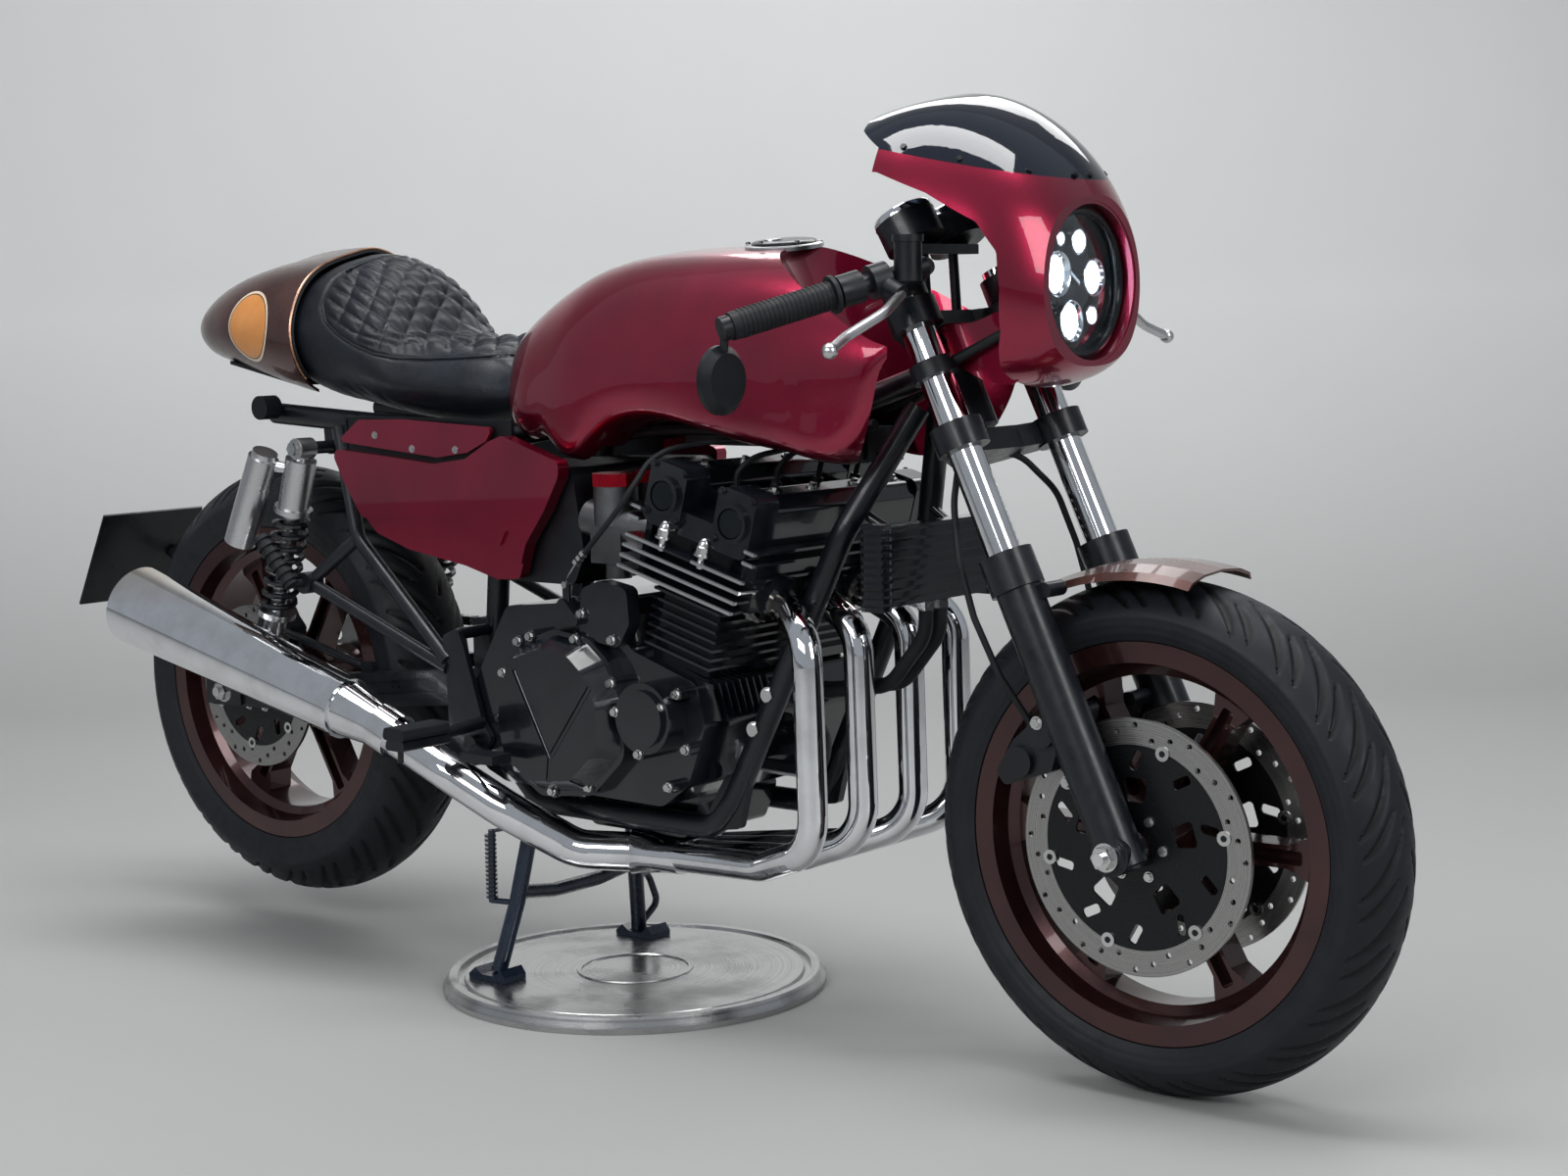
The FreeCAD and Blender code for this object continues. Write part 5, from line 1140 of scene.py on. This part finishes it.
def make_cowl_rim():
    """Pale edge band and dark gasket round the front of the tail cowl."""
    tree = surface_of("tail_cowl")
    middle = Vector((-0.512, 0, 0.885))
    outs = [Vector((0, cos(a), sin(a))) for a in (radians(-28 + 236 * k / 60) for k in range(61))]
    front = []
    for at, n in hits(tree, [(middle + out * 0.3, -out) for out in outs], 0.3):
        spot = at - n * 0.0015
        step = 0.0
        for _ in range(40):
            if tree.ray_cast(spot + Vector((step, 0, 0)) + n * 0.03, -n, 0.05)[0] is None:
                break
            step += 0.001
        front.append(spot + Vector((step - 0.001, 0, 0)))
    for _ in range(2):
        eased = [(a + 2 * b + c) / 4 for a, b, c in zip(front, front[1:], front[2:])]
        front = [front[0]] + eased + [front[-1]]
    joined("cowl_rim", [tube(front, 0.0021, 8)], "copper_edge")
    inner = [p - Vector((0, p.y, p.z - middle.z)).normalized() * 0.0045 for p in front]
    joined("cowl_gasket", [tube(inner, 0.0026, 8)], "rubber")


def plate_between(outline, y0, y1, edge=0.0012):
    """Flat plate with softened edges; the outline is (x, z) in metres."""
    bm = bmesh.new()
    low = [bm.verts.new((x, y0, z)) for x, z in outline]
    high = [bm.verts.new((x, y1, z)) for x, z in outline]
    bm.faces.new(low)
    bm.faces.new(high[::-1])
    for i in range(len(outline)):
        j = (i + 1) % len(outline)
        bm.faces.new((low[i], high[i], high[j], low[j]))
    bmesh.ops.recalc_face_normals(bm, faces=bm.faces)
    rim = [e for e in bm.edges if abs(e.verts[0].co.y - e.verts[1].co.y) < 1e-9]
    bmesh.ops.bevel(bm, geom=rim, offset=edge, segments=2, affect="EDGES")
    return bm


def oblong(x0, x1, z0, z1):
    """Outline with four corners in (x, z)."""
    return [(x0, z0), (x1, z0), (x1, z1), (x0, z1)]


def smooth_outline(points, steps=6):
    """Closed Catmull-Rom line through points."""
    out, n = [], len(points)
    for i in range(n):
        p0, p1, p2, p3 = (Vector((*points[(i + k) % n], 0)) for k in (-1, 0, 1, 2))
        for k in range(steps):
            t = k / steps
            q = 0.5 * (2 * p1 + (p2 - p0) * t + (2 * p0 - 5 * p1 + 4 * p2 - p3) * t * t
                       + (3 * p1 - p0 - 3 * p2 + p3) * t ** 3)
            out.append((q.x, q.y))
    return out


def make_chin():
    """Lower limbs of the fairing, inside the fork legs."""
    line = smooth_outline([(0.556, 0.866), (0.583, 0.889), (0.626, 0.892), (0.668, 0.905), (0.690, 0.895),
                           (0.696, 0.850), (0.684, 0.822), (0.640, 0.826), (0.600, 0.843), (0.568, 0.852)])
    limbs = [plate_between(line, s * 0.0755, s * 0.0785) for s in (-1, 1)]
    joined("fairing_chin", limbs, "candy_red", "steering")
    bolts("chin_screws", both_sides([(0.583, 0.0785, 0.872)]), 0.004, 0.002, 0.0055, 16,
          finish="plate_black", body="steering")


def make_body_screws():
    """Screws of the screen and of the plates over the side covers."""
    seen = [sighted(x, y, "windscreen", "fairing") for x, y in SCREEN_PIXELS]
    points, aims = ([Vector((v.x, s * v.y, v.z)) for s in (1, -1) for v in (pair[i] for pair in seen)]
                    for i in (0, 1))
    bolts("screen_screws", points, 0.0032, 0.0012, 0.0040, 16, aims, "plate_black", "steering")
    places = [sighted(x, y, "side_covers")[0] for x, y in COVER_PIXELS]
    points = [Vector((p.x, s * abs(p.y), p.z)) for s in (-1, 1) for p in places]
    bolts("cover_screws", points, 0.0042, 0.0020, 0.0052, 16)


def make_backing():
    """Dark inner guards behind the side covers and the plates over them."""
    line = oblong(-0.385, -0.060, 0.700, 0.772)
    guards = [plate_between(line, s * 0.1430, s * 0.1455, 0.004) for s in (-1, 1)]
    joined("cover_guards", guards, "black_plastic")


def make_plate_bracket():
    """Arm from the swingarm's left end, round the tyre, to two pads on the number plate's front."""
    plate = surface_of("number_plate")
    lean = Vector((0.883, 0, -0.469))
    seats = [plate.ray_cast(Vector((-1.0505, y, 0.5335)) + lean * 0.06, -lean, 0.1)[0]
             for y in (0.062, 0.084)]
    pad = [(-0.0005, 0.0), (-0.0005, 0.011), (0.0105, 0.010), (0.0110, 0.0)]
    root = surface_of("swingarm").find_nearest(Vector((-0.700, 0.170, 0.367)))[0]
    cross, half = (seats[0] + seats[1]) / 2 + lean * 0.008, Vector((0, 0.014, 0))
    arm = [root, (-0.760, 0.150, 0.366), (-0.860, 0.132, 0.380), (-0.955, 0.116, 0.420),
           (-1.006, 0.102, 0.470), cross + half, cross - half]
    foot = [(-0.006, 0.0), (-0.006, 0.012), (0.006, 0.012), (0.006, 0.0)]
    joined("plate_bracket", [tube(arm, 0.0065, 12), lathe(foot, root, (0, 1, 0))]
           + [lathe(pad, at, lean) for at in seats], "frame_black")


def make_tank_cap():
    """Flush filler cap with its lock on top of the tank."""
    at, up = hits(surface_of("fuel_tank"), [((0.285, 0, 1.3), (0, 0, -1))], 1.0)[0]
    up = up if up.z > 0 else -up
    ring = [(-0.002, 0.050), (0.0028, 0.050), (0.0042, 0.0475), (0.0042, 0.0440), (0.0030, 0.0425),
            (-0.002, 0.0425)]
    lid = [(-0.002, 0.0415), (0.0055, 0.0415), (0.0075, 0.0385), (0.0080, 0.020), (0.0080, 0.0)]
    lock = [(0.0078, 0.012), (0.0100, 0.0115), (0.0104, 0.009), (0.0104, 0.0)]
    joined("tank_cap_ring", [lathe(ring, at, up, 64, True)], "silver")
    joined("tank_cap_lid", [lathe(lid, at, up, 64)], "plate_black")
    joined("tank_cap_lock", [lathe(lock, at - Vector((0.018, 0, 0)), up, 32)], "bright_steel")
    spots = [at + Vector((0.046 * cos(a), 0.046 * sin(a), 0.0035)) for a in turns(6, 30)]
    bolts("tank_cap_bolts", spots, 0.0030, 0.0018, 0.0036, 12, up)


# Engine


FIN_PITCH, FIN_THICK = 0.014, 0.0045


def cylinder_place(a, y, b):
    """A place in the leaning cylinders' frame: a runs forward across the fins, b up the bores."""
    return CYL_BASE + Vector((a * cos(CYL_LEAN) + b * sin(CYL_LEAN), y,
                              b * cos(CYL_LEAN) - a * sin(CYL_LEAN)))


def fin_bars(a0, a1, y0, y1, b):
    """Rounded bars on both ends of one fin."""
    bars = []
    for s in (-1, 1):
        bm = bmesh.new()
        corners = [(a, y, h) for a in (a0, a1) for y in sorted((s * y0, s * y1))
                   for h in (b, b + FIN_THICK)]
        v = [bm.verts.new(cylinder_place(*c)) for c in corners]
        for f in ((0, 1, 3, 2), (4, 6, 7, 5), (0, 4, 5, 1), (2, 3, 7, 6), (0, 2, 6, 4), (1, 5, 7, 3)):
            bm.faces.new([v[i] for i in f])
        bmesh.ops.recalc_face_normals(bm, faces=bm.faces)
        bmesh.ops.bevel(bm, geom=bm.edges[:], offset=0.0009, segments=2, affect="EDGES")
        bars.append(bm)
    return bars


def make_fin_edges():
    """Milled bright ends of the head's long fins."""
    bars = []
    for i in range(4):
        a0, a1 = -0.0825 + 0.0015 * i, 0.1085 + 0.003 * i
        for ends in ((a0, -0.012), (0.032, a1)) if i == 3 else ((a0, a1),):
            bars += fin_bars(*ends, 0.1905, 0.1968, 0.1105 + FIN_PITCH * i)
    for b in (0.1755, 0.1755 + FIN_PITCH):
        for ends in ((-0.0845, -0.0635), (0.1065, 0.1245)):
            bars += fin_bars(*ends, 0.1865, 0.1928, b)
    joined("fin_edges", bars, "fin_edge")


def make_acorns():
    """Domed nuts on the head studs beside the cam ends."""
    nut = [(0.0, 0.0115), (0.0022, 0.0115), (0.0024, 0.0095), (0.0115, 0.0092), (0.0125, 0.0080),
           (0.0165, 0.0072), (0.0205, 0.0052), (0.0225, 0.0022), (0.0228, 0.0)]
    parts = []
    for at in both_sides([(0.238, 0.186, 0.634), (0.300, 0.186, 0.615)]):
        parts += [lathe(nut, at, BORE_UP), lathe([(-0.016, 0.0052), (0.0, 0.0052)], at, BORE_UP, 16)]
    joined("stud_nuts", parts, "bright_steel")


def make_port_collars():
    """Toothed collars where the header pipes meet the head."""
    aim = Vector((0.58, 0, -0.16)).normalized()
    side = Vector((0, 1, 0))
    up = side.cross(aim)
    collar = [(-0.006, 0.0), (-0.006, 0.0290), (0.0065, 0.0290), (0.0075, 0.0275), (0.0075, 0.0)]
    places = [Vector((0.338, y, 0.5605)) for y in CYLINDERS]
    joined("port_collars", [lathe(collar, at, aim, 48) for at in places], "cast_grey")
    teeth = [at + (side * cos(a) + up * sin(a)) * 0.0295 for at in places for a in turns(18)]
    rods("port_teeth", teeth, aim, 0.0030, 0.0115, 8, "cast_grey")


# Bolt places (x, z) on the right covers, with the bosses' radius and height and the bolts' y
COVER_BOLTS = (
    (0.0085, 0.0215, -0.1865, ((0.003, 0.496), (-0.019, 0.488), (0.083, 0.498), (0.143, 0.446),
                               (0.143, 0.362), (0.100, 0.309), (0.036, 0.297), (-0.024, 0.322),
                               (-0.056, 0.384), (-0.048, 0.445))),
    (0.0080, 0.0335, -0.1985, ((0.161, 0.413), (0.236, 0.424), (0.199, 0.363))),
    (0.0080, 0.0160, -0.181, ((0.142, 0.500), (0.090, 0.530), (0.248, 0.440), (0.262, 0.372),
                              (0.232, 0.322))))


def make_case_bolts():
    """Bosses and bolts of the right and left engine covers, and of the lower frame joints."""
    bosses, right = [], []
    for r, h, y, places in COVER_BOLTS:
        boss = [(0.0, r), (h - 0.001, r), (h, r - 0.001), (h, 0.0)]
        bosses += [lathe(boss, (x, CASE_FACE, z), (0, -1, 0)) for x, z in places]
        right += [(x, y, z) for x, z in places]
    joined("cover_bosses", bosses, "engine_black")
    left = ring_places(Vector((0.196, 0, 0.404)), 0.203, 0.057, 8, 20)
    left += [(x, 0.158, z) for x, z in ((-0.104, 0.362), (-0.100, 0.456), (-0.036, 0.488), (-0.016, 0.352))]
    bolts("right_case_bolts", right, 0.0050, 0.0048, 0.0062)
    bolts("left_case_bolts", left, 0.0050, 0.0048, 0.0062)
    tree = surface_of("frame_cradle")
    near = both_sides([(0.332, 0.125, 0.439), (0.310, 0.125, 0.394)])
    spots = [tree.find_nearest(p)[0] - Vector((0, copysign(0.0015, p.y), 0)) for p in near]
    aims = [(0.25, copysign(1, p.y), 0) for p in near]
    bolts("downtube_bolts", spots, 0.0080, 0.0060, 0.0105, aim=aims)


def make_cam_ends():
    """Round plugs on the ends of the cam cover, and its bolts."""
    plug = [(0.0, 0.0185), (0.0015, 0.0185), (0.0028, 0.0170), (0.0028, 0.0)]
    ends = [(a, s) for a in CAMS for s in (-1, 1)]
    plugs = [lathe(plug, cylinder_place(a, s * 0.186, CAM_HEIGHT), (0, s, 0), 40) for a, s in ends]
    joined("cam_plugs", plugs, "plate_black")
    corners = ((-0.024, 0.034), (0.024, 0.034), (-0.024, -0.026), (0.024, -0.026))
    spots = [cylinder_place(a + da, s * 0.184, CAM_HEIGHT + db) for a, s in ends for da, db in corners]
    bolts("cam_end_bolts", spots, 0.0042, 0.0040, 0.0056, finish="engine_black")
    tops = [cylinder_place(a, y, 0.2523) for a in CAMS for y in CYLINDERS]
    bolts("cam_top_bolts", tops, 0.0050, 0.0045, 0.0080, aim=BORE_UP)


def make_ignition():
    """Plug caps and leads, the coils, and the loom that runs under the tank."""
    cap = [(0.0, 0.0110), (0.020, 0.0105), (0.022, 0.0085), (0.036, 0.0065), (0.037, 0.0)]
    caps, leads = [], []
    for y, coil in zip(CYLINDERS, (-0.020, -0.012, 0.012, 0.020)):
        at = cylinder_place(0.020, y, 0.206)
        caps.append(lathe(cap, at, BORE_UP))
        top = at + BORE_UP * 0.034
        leads.append(tube([top, top + BORE_UP * 0.022, (0.335, y * 0.55, 0.738), (0.372, coil, 0.742)],
                          0.0036, 8))
    joined("plug_caps", caps, "rubber")
    joined("plug_leads", leads, "rubber")
    coils = [plate_between(oblong(x, x + 0.036, 0.722, 0.764), -0.040, 0.040, 0.004)
             for x in (0.362, 0.404)]
    rail = [(0.140, 0.738), (0.345, 0.738), (0.345, 0.763), (0.140, 0.766)]
    joined("coil_packs", coils + [plate_between(rail, -0.034, 0.034, 0.004)], "black_plastic")
    loom = [tube([(0.03, y, 0.745), (0.12, y * 1.08, 0.757), (0.24, y * 0.96, 0.759), (0.36, y, 0.757),
                  (0.46, y * 0.9, 0.769)], 0.0075, 10) for y in (-0.052, 0.052)]
    joined("wiring_loom", loom, "rubber")


def make_clutch_cable():
    """Clutch cable from its lever on the cover up behind the cam end, with its bright adjuster."""
    low = [(0.064, -0.179, 0.566), (0.072, -0.186, 0.574), (0.098, -0.197, 0.596)]
    high = [low[-1], (0.150, -0.2035, 0.640), (0.176, -0.2005, 0.668), (0.196, -0.190, 0.700),
            (0.206, -0.162, 0.731), (0.240, -0.110, 0.746), (0.300, -0.070, 0.750)]
    joined("clutch_inner_cable", [tube(low, 0.0013, 8)], "bright_steel")
    joined("clutch_cable", [tube(high, 0.0037, 10)], "rubber")
    start = Vector(high[0])
    along = (Vector(high[1]) - start).normalized()
    rods("cable_adjuster", [start + along * d for d in (0.004, 0.013, 0.022)], along, 0.0060, 0.0060, 6)
    rods("cable_end", [low[0]], (0, 1, 0), 0.0045, 0.012, 12)


def make_cooler_tanks():
    """Ribbed end tanks of the oil cooler and the cap nuts of its hoses."""
    ribs = [(0.509, s * 0.1135, 0.556 + 0.0092 * k) for s in (-1, 1) for k in range(11)]
    rods("cooler_ribs", ribs, (0, 0, 1), 0.0185, 0.0048, 28, "engine_black")
    rods("hose_nuts", both_sides([(0.509, 0.015, 0.5495)]), (0, 0, 1), 0.0118, 0.011, 6)


# Wheels, brakes and chain


def make_disc_buttons():
    """Floating buttons between the drilled bands and their carriers, and the carrier bolts."""
    front = [p for s in (-1, 1) for p in ring_places(FRONT_AXLE, s * 0.0688, 0.1165, 6, 12)]
    rear = ring_places(REAR_AXLE, -0.0947, 0.0885, 6, 20)
    for end, points, r, length, eye in (("front", front, 0.0085, 0.0082, 0.0038),
                                        ("rear", rear, 0.0080, 0.0080, 0.0036)):
        wheel = end + "_wheel"
        rods(end + "_disc_buttons", points, (0, 1, 0), r, length, 24, body=wheel)
        rods(end + "_button_eyes", points, (0, 1, 0), eye, length + 0.0008, 16, "plate_black", wheel)
    front = [p for s in (-1, 1) for p in ring_places(FRONT_AXLE, s * 0.0707, 0.036, 6, 0)]
    rear = ring_places(REAR_AXLE, -0.0966, 0.036, 6, 0)
    bolts("front_carrier_bolts", front, 0.0048, 0.0040, 0.0062, body="front_wheel")
    bolts("rear_carrier_bolts", rear, 0.0048, 0.0040, 0.0062, body="rear_wheel")
    bolts("sprocket_bolts", ring_places(REAR_AXLE, 0.0960, 0.044, 6, 30), 0.0065, 0.0060, 0.0088,
          body="rear_wheel")


def make_axle_nuts():
    """Nuts on the ends of both axles."""
    for name, at, y, body in (("front", FRONT_AXLE, 0.134, "steering"),
                              ("rear", REAR_AXLE, 0.158, "chassis")):
        bolts(name + "_axle_nuts", both_sides([(at.x, y, at.z)]), 0.0135, 0.0090, 0.0165, body=body)
        rods(name + "_axle_ends", both_sides([(at.x, y + 0.010, at.z)]), (0, 1, 0), 0.0070, 0.012, 20,
             "chrome", body)


CHAIN_PITCH = 0.0159
DRIVE_SPROCKET = Vector((-0.062, 0, 0.414))
# Radii of the chain's middle line round the rear and the drive sprocket
REAR_LINE_R, DRIVE_LINE_R = 0.0965, 0.0428


def make_chain_pins():
    """Pins of the drive chain, one at each end of every link."""
    r1, r2 = REAR_LINE_R, DRIVE_LINE_R
    d = DRIVE_SPROCKET - REAR_AXLE
    lean, turn = atan2(d.z, d.x), acos((r1 - r2) / d.length)
    run = d.length * sin(turn)
    lower = run + 2 * turn * r2
    loop = 2 * run + 2 * r2 * turn + 2 * r1 * (pi - turn)
    count = 2 * int(loop / CHAIN_PITCH / 2)
    spots = []
    for i in range(count):
        s = loop * (i + 0.5) / count
        if s < run:
            centre, r, a, on = REAR_AXLE, r1, lean + turn, s
        elif s < lower:
            centre, r, a, on = DRIVE_SPROCKET, r2, lean + turn - (s - run) / r2, 0.0
        elif s < lower + run:
            centre, r, a, on = DRIVE_SPROCKET, r2, lean - turn, s - lower
        else:
            centre, r, a, on = REAR_AXLE, r1, lean - turn - (s - lower - run) / r1, 0.0
        spots.append((centre.x + r * cos(a) + on * sin(a), CHAIN_LINE,
                      centre.z + r * sin(a) - on * cos(a)))
    rods("chain_pins", spots, (0, 1, 0), 0.0026, 0.0196, 12)


def make_side_bolts():
    """Caliper bolts on the fork lugs, and dome nuts at both ends of the shock absorbers."""
    lugs = on_flanks(surface_of("front_calipers", "fork_lowers"), ((0.737, 0.440), (0.764, 0.370)),
                     0.2, 0.15, 0.12)
    bolts("caliper_bolts", lugs, 0.0058, 0.0050, 0.0078, body="steering")
    eyes = on_flanks(surface_of("shocks"), ((-0.459, 0.726), (-0.560, 0.424)), 0.35, 0.3, 0.2)
    bolts("shock_nuts", eyes, 0.0095, 0.0070, 0.0130)


# Controls and gauges


# Numbers round the left and the right dial
DIALS = ((1, ("0", "2", "4", "6", "8", "10", "12")), (-1, ("0", "4", "8", "12", "16", "20")))
DIAL_START, DIAL_SWEEP, NEEDLE_TURN = -125, 250, radians(118)


def gauge_seat(side):
    """Middle of a gauge's back."""
    return Vector((0.522, side * 0.043, 0.984))


def gauge_matrix(side):
    """A gauge's face: its own X to the right for the rider, Y to its top."""
    right = Vector((0, -1, 0))
    axes = Matrix((right, GAUGE_UP.cross(right), GAUGE_UP)).transposed().to_4x4()
    return Matrix.Translation(gauge_seat(side) + GAUGE_UP * 0.0368) @ axes


def number_mesh(text, size):
    """Thin flat number about its middle."""
    curve = bpy.data.curves.new("dial_number", "FONT")
    curve.body, curve.size, curve.extrude = text, size, 0.0001
    curve.align_x, curve.align_y, curve.resolution_u = "CENTER", "CENTER", 2
    return mesh_of_curve("dial_number", curve)


def needle_mesh():
    """Thin pointer along Y."""
    bm = bmesh.new()
    tip = [bm.verts.new((x, y, 0.0016))
           for x, y in ((-0.0012, -0.006), (0.0012, -0.006), (0.0002, 0.025), (-0.0002, 0.025))]
    back = [bm.verts.new(v.co + Vector((0, 0, -0.0006))) for v in tip]
    bm.faces.new(tip)
    bm.faces.new(back[::-1])
    for i in range(4):
        j = (i + 1) % 4
        bm.faces.new((back[i], back[j], tip[j], tip[i]))
    return bm


def make_gauges():
    """Dial faces with plain numbers, marks and needles under glass."""
    faces, marks, needles, glass, rims = [], [], [], [], []
    for side, numbers in DIALS:
        place = gauge_matrix(side)
        at = place.translation
        faces.append(lathe([(-0.0006, 0.0326), (0.0002, 0.0326), (0.0004, 0.0300), (0.0004, 0.0)], at,
                           GAUGE_UP, 48))
        last = len(numbers) - 1
        for i in range(5 * last + 1):
            a = radians(DIAL_START + DIAL_SWEEP * i / (5 * last))
            size, r = ((0.0011, 0.0045), 0.0275) if i % 5 == 0 else ((0.0005, 0.0026), 0.0285)
            turn = Matrix.Rotation(-a, 4, "Z") @ Matrix.Translation((0, r, 0.0006))
            marks.append(block(place @ turn @ Matrix.Diagonal((*size, 0.0003, 1.0))))
        for i, text in enumerate(numbers):
            a = radians(DIAL_START + DIAL_SWEEP * i / last)
            number = number_mesh(text, 0.0068)
            spot = Matrix.Translation((0.0205 * sin(a), 0.0205 * cos(a), 0.0006))
            bmesh.ops.transform(number, matrix=place @ spot, verts=number.verts)
            marks.append(number)
        needle = needle_mesh()
        turn = Matrix.Rotation(NEEDLE_TURN, 4, "Z")
        bmesh.ops.transform(needle, matrix=place @ turn, verts=needle.verts)
        hub = [(0.0004, 0.0042), (0.0022, 0.0040), (0.0026, 0.0032), (0.0026, 0.0)]
        needles += [needle, lathe(hub, at, GAUGE_UP)]
        glass.append(lathe([(0.0022, 0.0328), (0.0034, 0.0328), (0.0034, 0.0)], at, GAUGE_UP, 48))
        rim = [(0.0336, 0.0330), (0.0400, 0.0330), (0.0412, 0.0345), (0.0412, 0.0366), (0.0396, 0.0376),
               (0.0336, 0.0376)]
        rims.append(lathe(rim, gauge_seat(side), GAUGE_UP, 56, True))
    joined("dial_faces", faces, "plate_black", "steering")
    joined("dial_marks", marks, "dial_white", "steering", False)
    joined("dial_needles", needles, "dial_orange", "steering")
    joined("dial_glass", glass, "lens", "steering")
    joined("dial_rims", rims, "chrome", "steering")


def make_grip_ribs():
    """Raised ribs round both grips."""
    inner, outer = Vector((0.607, -0.142, 0.957)), Vector((0.489, -0.348, 0.893))
    d = (outer - inner).normalized()
    ribs = [outer - d * (0.012 + 0.0055 * k) for k in range(21)]
    spots = [(p.x, -s * p.y, p.z) for s in (-1, 1) for p in ribs]
    aims = [(d.x, -s * d.y, d.z) for s in (-1, 1) for _ in ribs]
    rods("grip_ribs", spots, aims, 0.0168, 0.0026, 24, "rubber", "steering")


# Add-on


class RacerSizes(PropertyGroup):
    """Sizes and colours that a user would change."""
    tank_red: FloatVectorProperty(name="Tank red", description="Colour of the candy paint",
                                  subtype="COLOR", default=(0.33, 0.005, 0.040), min=0.0, max=1.0)
    quilt_pitch: FloatProperty(name="Quilt pitch", description="Width of one sewn diamond",
                               default=0.044, min=0.02, max=0.1, unit="LENGTH")
    quilt_puff: FloatProperty(name="Quilt height", description="How far a diamond swells",
                              default=0.0065, min=0.0, max=0.02, unit="LENGTH")


class DressingStep:
    """Calls the makers of one group in order."""
    makers = ()

    def execute(self, context):
        for make in self.makers:
            make()
        return {"FINISHED"}


class RACER_OT_stage(DressingStep, Operator):
    """Floor, wall, lamps and the camera at the photograph's viewpoint"""
    bl_idname = "racer.stage"
    bl_label = "Stage and camera"
    makers = (make_camera, make_room, make_softboxes, make_sky)


class RACER_OT_finishes(DressingStep, Operator):
    """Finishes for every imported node"""
    bl_idname = "racer.finishes"
    bl_label = "Finishes"
    makers = (make_finishes, dress_nodes, make_trees)


class RACER_OT_tyres(DressingStep, Operator):
    """Tyres with their cut tread"""
    bl_idname = "racer.tyres"
    bl_label = "Tyres"
    makers = (make_tyres,)


class RACER_OT_seat(DressingStep, Operator):
    """Padded and quilted seat with its welt and stitches"""
    bl_idname = "racer.seat"
    bl_label = "Seat"
    makers = (make_dressed_seat,)


class RACER_OT_lamp(DressingStep, Operator):
    """Headlight with its lit projectors and glass"""
    bl_idname = "racer.lamp"
    bl_label = "Headlight"
    makers = (make_lamp,)


class RACER_OT_bodywork(DressingStep, Operator):
    """Roundels, cowl rim, fairing chin, guards, plate bracket, filler cap and body screws"""
    bl_idname = "racer.bodywork"
    bl_label = "Bodywork trim"
    makers = (make_roundels, make_cowl_rim, make_chin, make_backing, make_plate_bracket, make_tank_cap,
              make_body_screws)


class RACER_OT_engine(DressingStep, Operator):
    """Bright fin ends, nuts, plugs and bolts of the engine, and the cooler's ribbed tanks"""
    bl_idname = "racer.engine"
    bl_label = "Engine trim"
    makers = (make_fin_edges, make_acorns, make_port_collars, make_case_bolts, make_cam_ends,
              make_cooler_tanks)


class RACER_OT_wiring(DressingStep, Operator):
    """Plug leads, coils, loom and clutch cable"""
    bl_idname = "racer.wiring"
    bl_label = "Leads and cables"
    makers = (make_ignition, make_clutch_cable)


class RACER_OT_wheels(DressingStep, Operator):
    """Disc buttons, axle nuts, caliper and shock absorber bolts, and chain pins"""
    bl_idname = "racer.wheels"
    bl_label = "Wheel and brake fittings"
    makers = (make_disc_buttons, make_axle_nuts, make_side_bolts, make_chain_pins)


class RACER_OT_controls(DressingStep, Operator):
    """Dials and the ribs of the grips"""
    bl_idname = "racer.controls"
    bl_label = "Gauges and grips"
    makers = (make_gauges, make_grip_ribs)


class RACER_PT_panel(Panel):
    """Lists the steps that dress the motorcycle"""
    bl_idname = "RACER_PT_panel"
    bl_label = "Cafe racer"
    bl_space_type = "VIEW_3D"
    bl_region_type = "UI"
    bl_category = "Cafe racer"

    def draw(self, context):
        for size in ("tank_red", "quilt_pitch", "quilt_puff"):
            self.layout.prop(context.scene.racer_sizes, size)
        for step in STEPS:
            self.layout.operator(step.bl_idname)


STEPS = (RACER_OT_stage, RACER_OT_finishes, RACER_OT_tyres, RACER_OT_seat, RACER_OT_lamp,
         RACER_OT_bodywork, RACER_OT_engine, RACER_OT_wiring, RACER_OT_wheels, RACER_OT_controls)
CLASSES = (RacerSizes,) + STEPS + (RACER_PT_panel,)


def register():
    for c in CLASSES:
        bpy.utils.register_class(c)
    bpy.types.Scene.racer_sizes = PointerProperty(type=RacerSizes)


def unregister():
    del bpy.types.Scene.racer_sizes
    for c in reversed(CLASSES):
        bpy.utils.unregister_class(c)


def main():
    register()
    for step in STEPS:
        group, name = step.bl_idname.split(".")
        getattr(getattr(bpy.ops, group), name)()


if __name__ == "__main__":
    main()
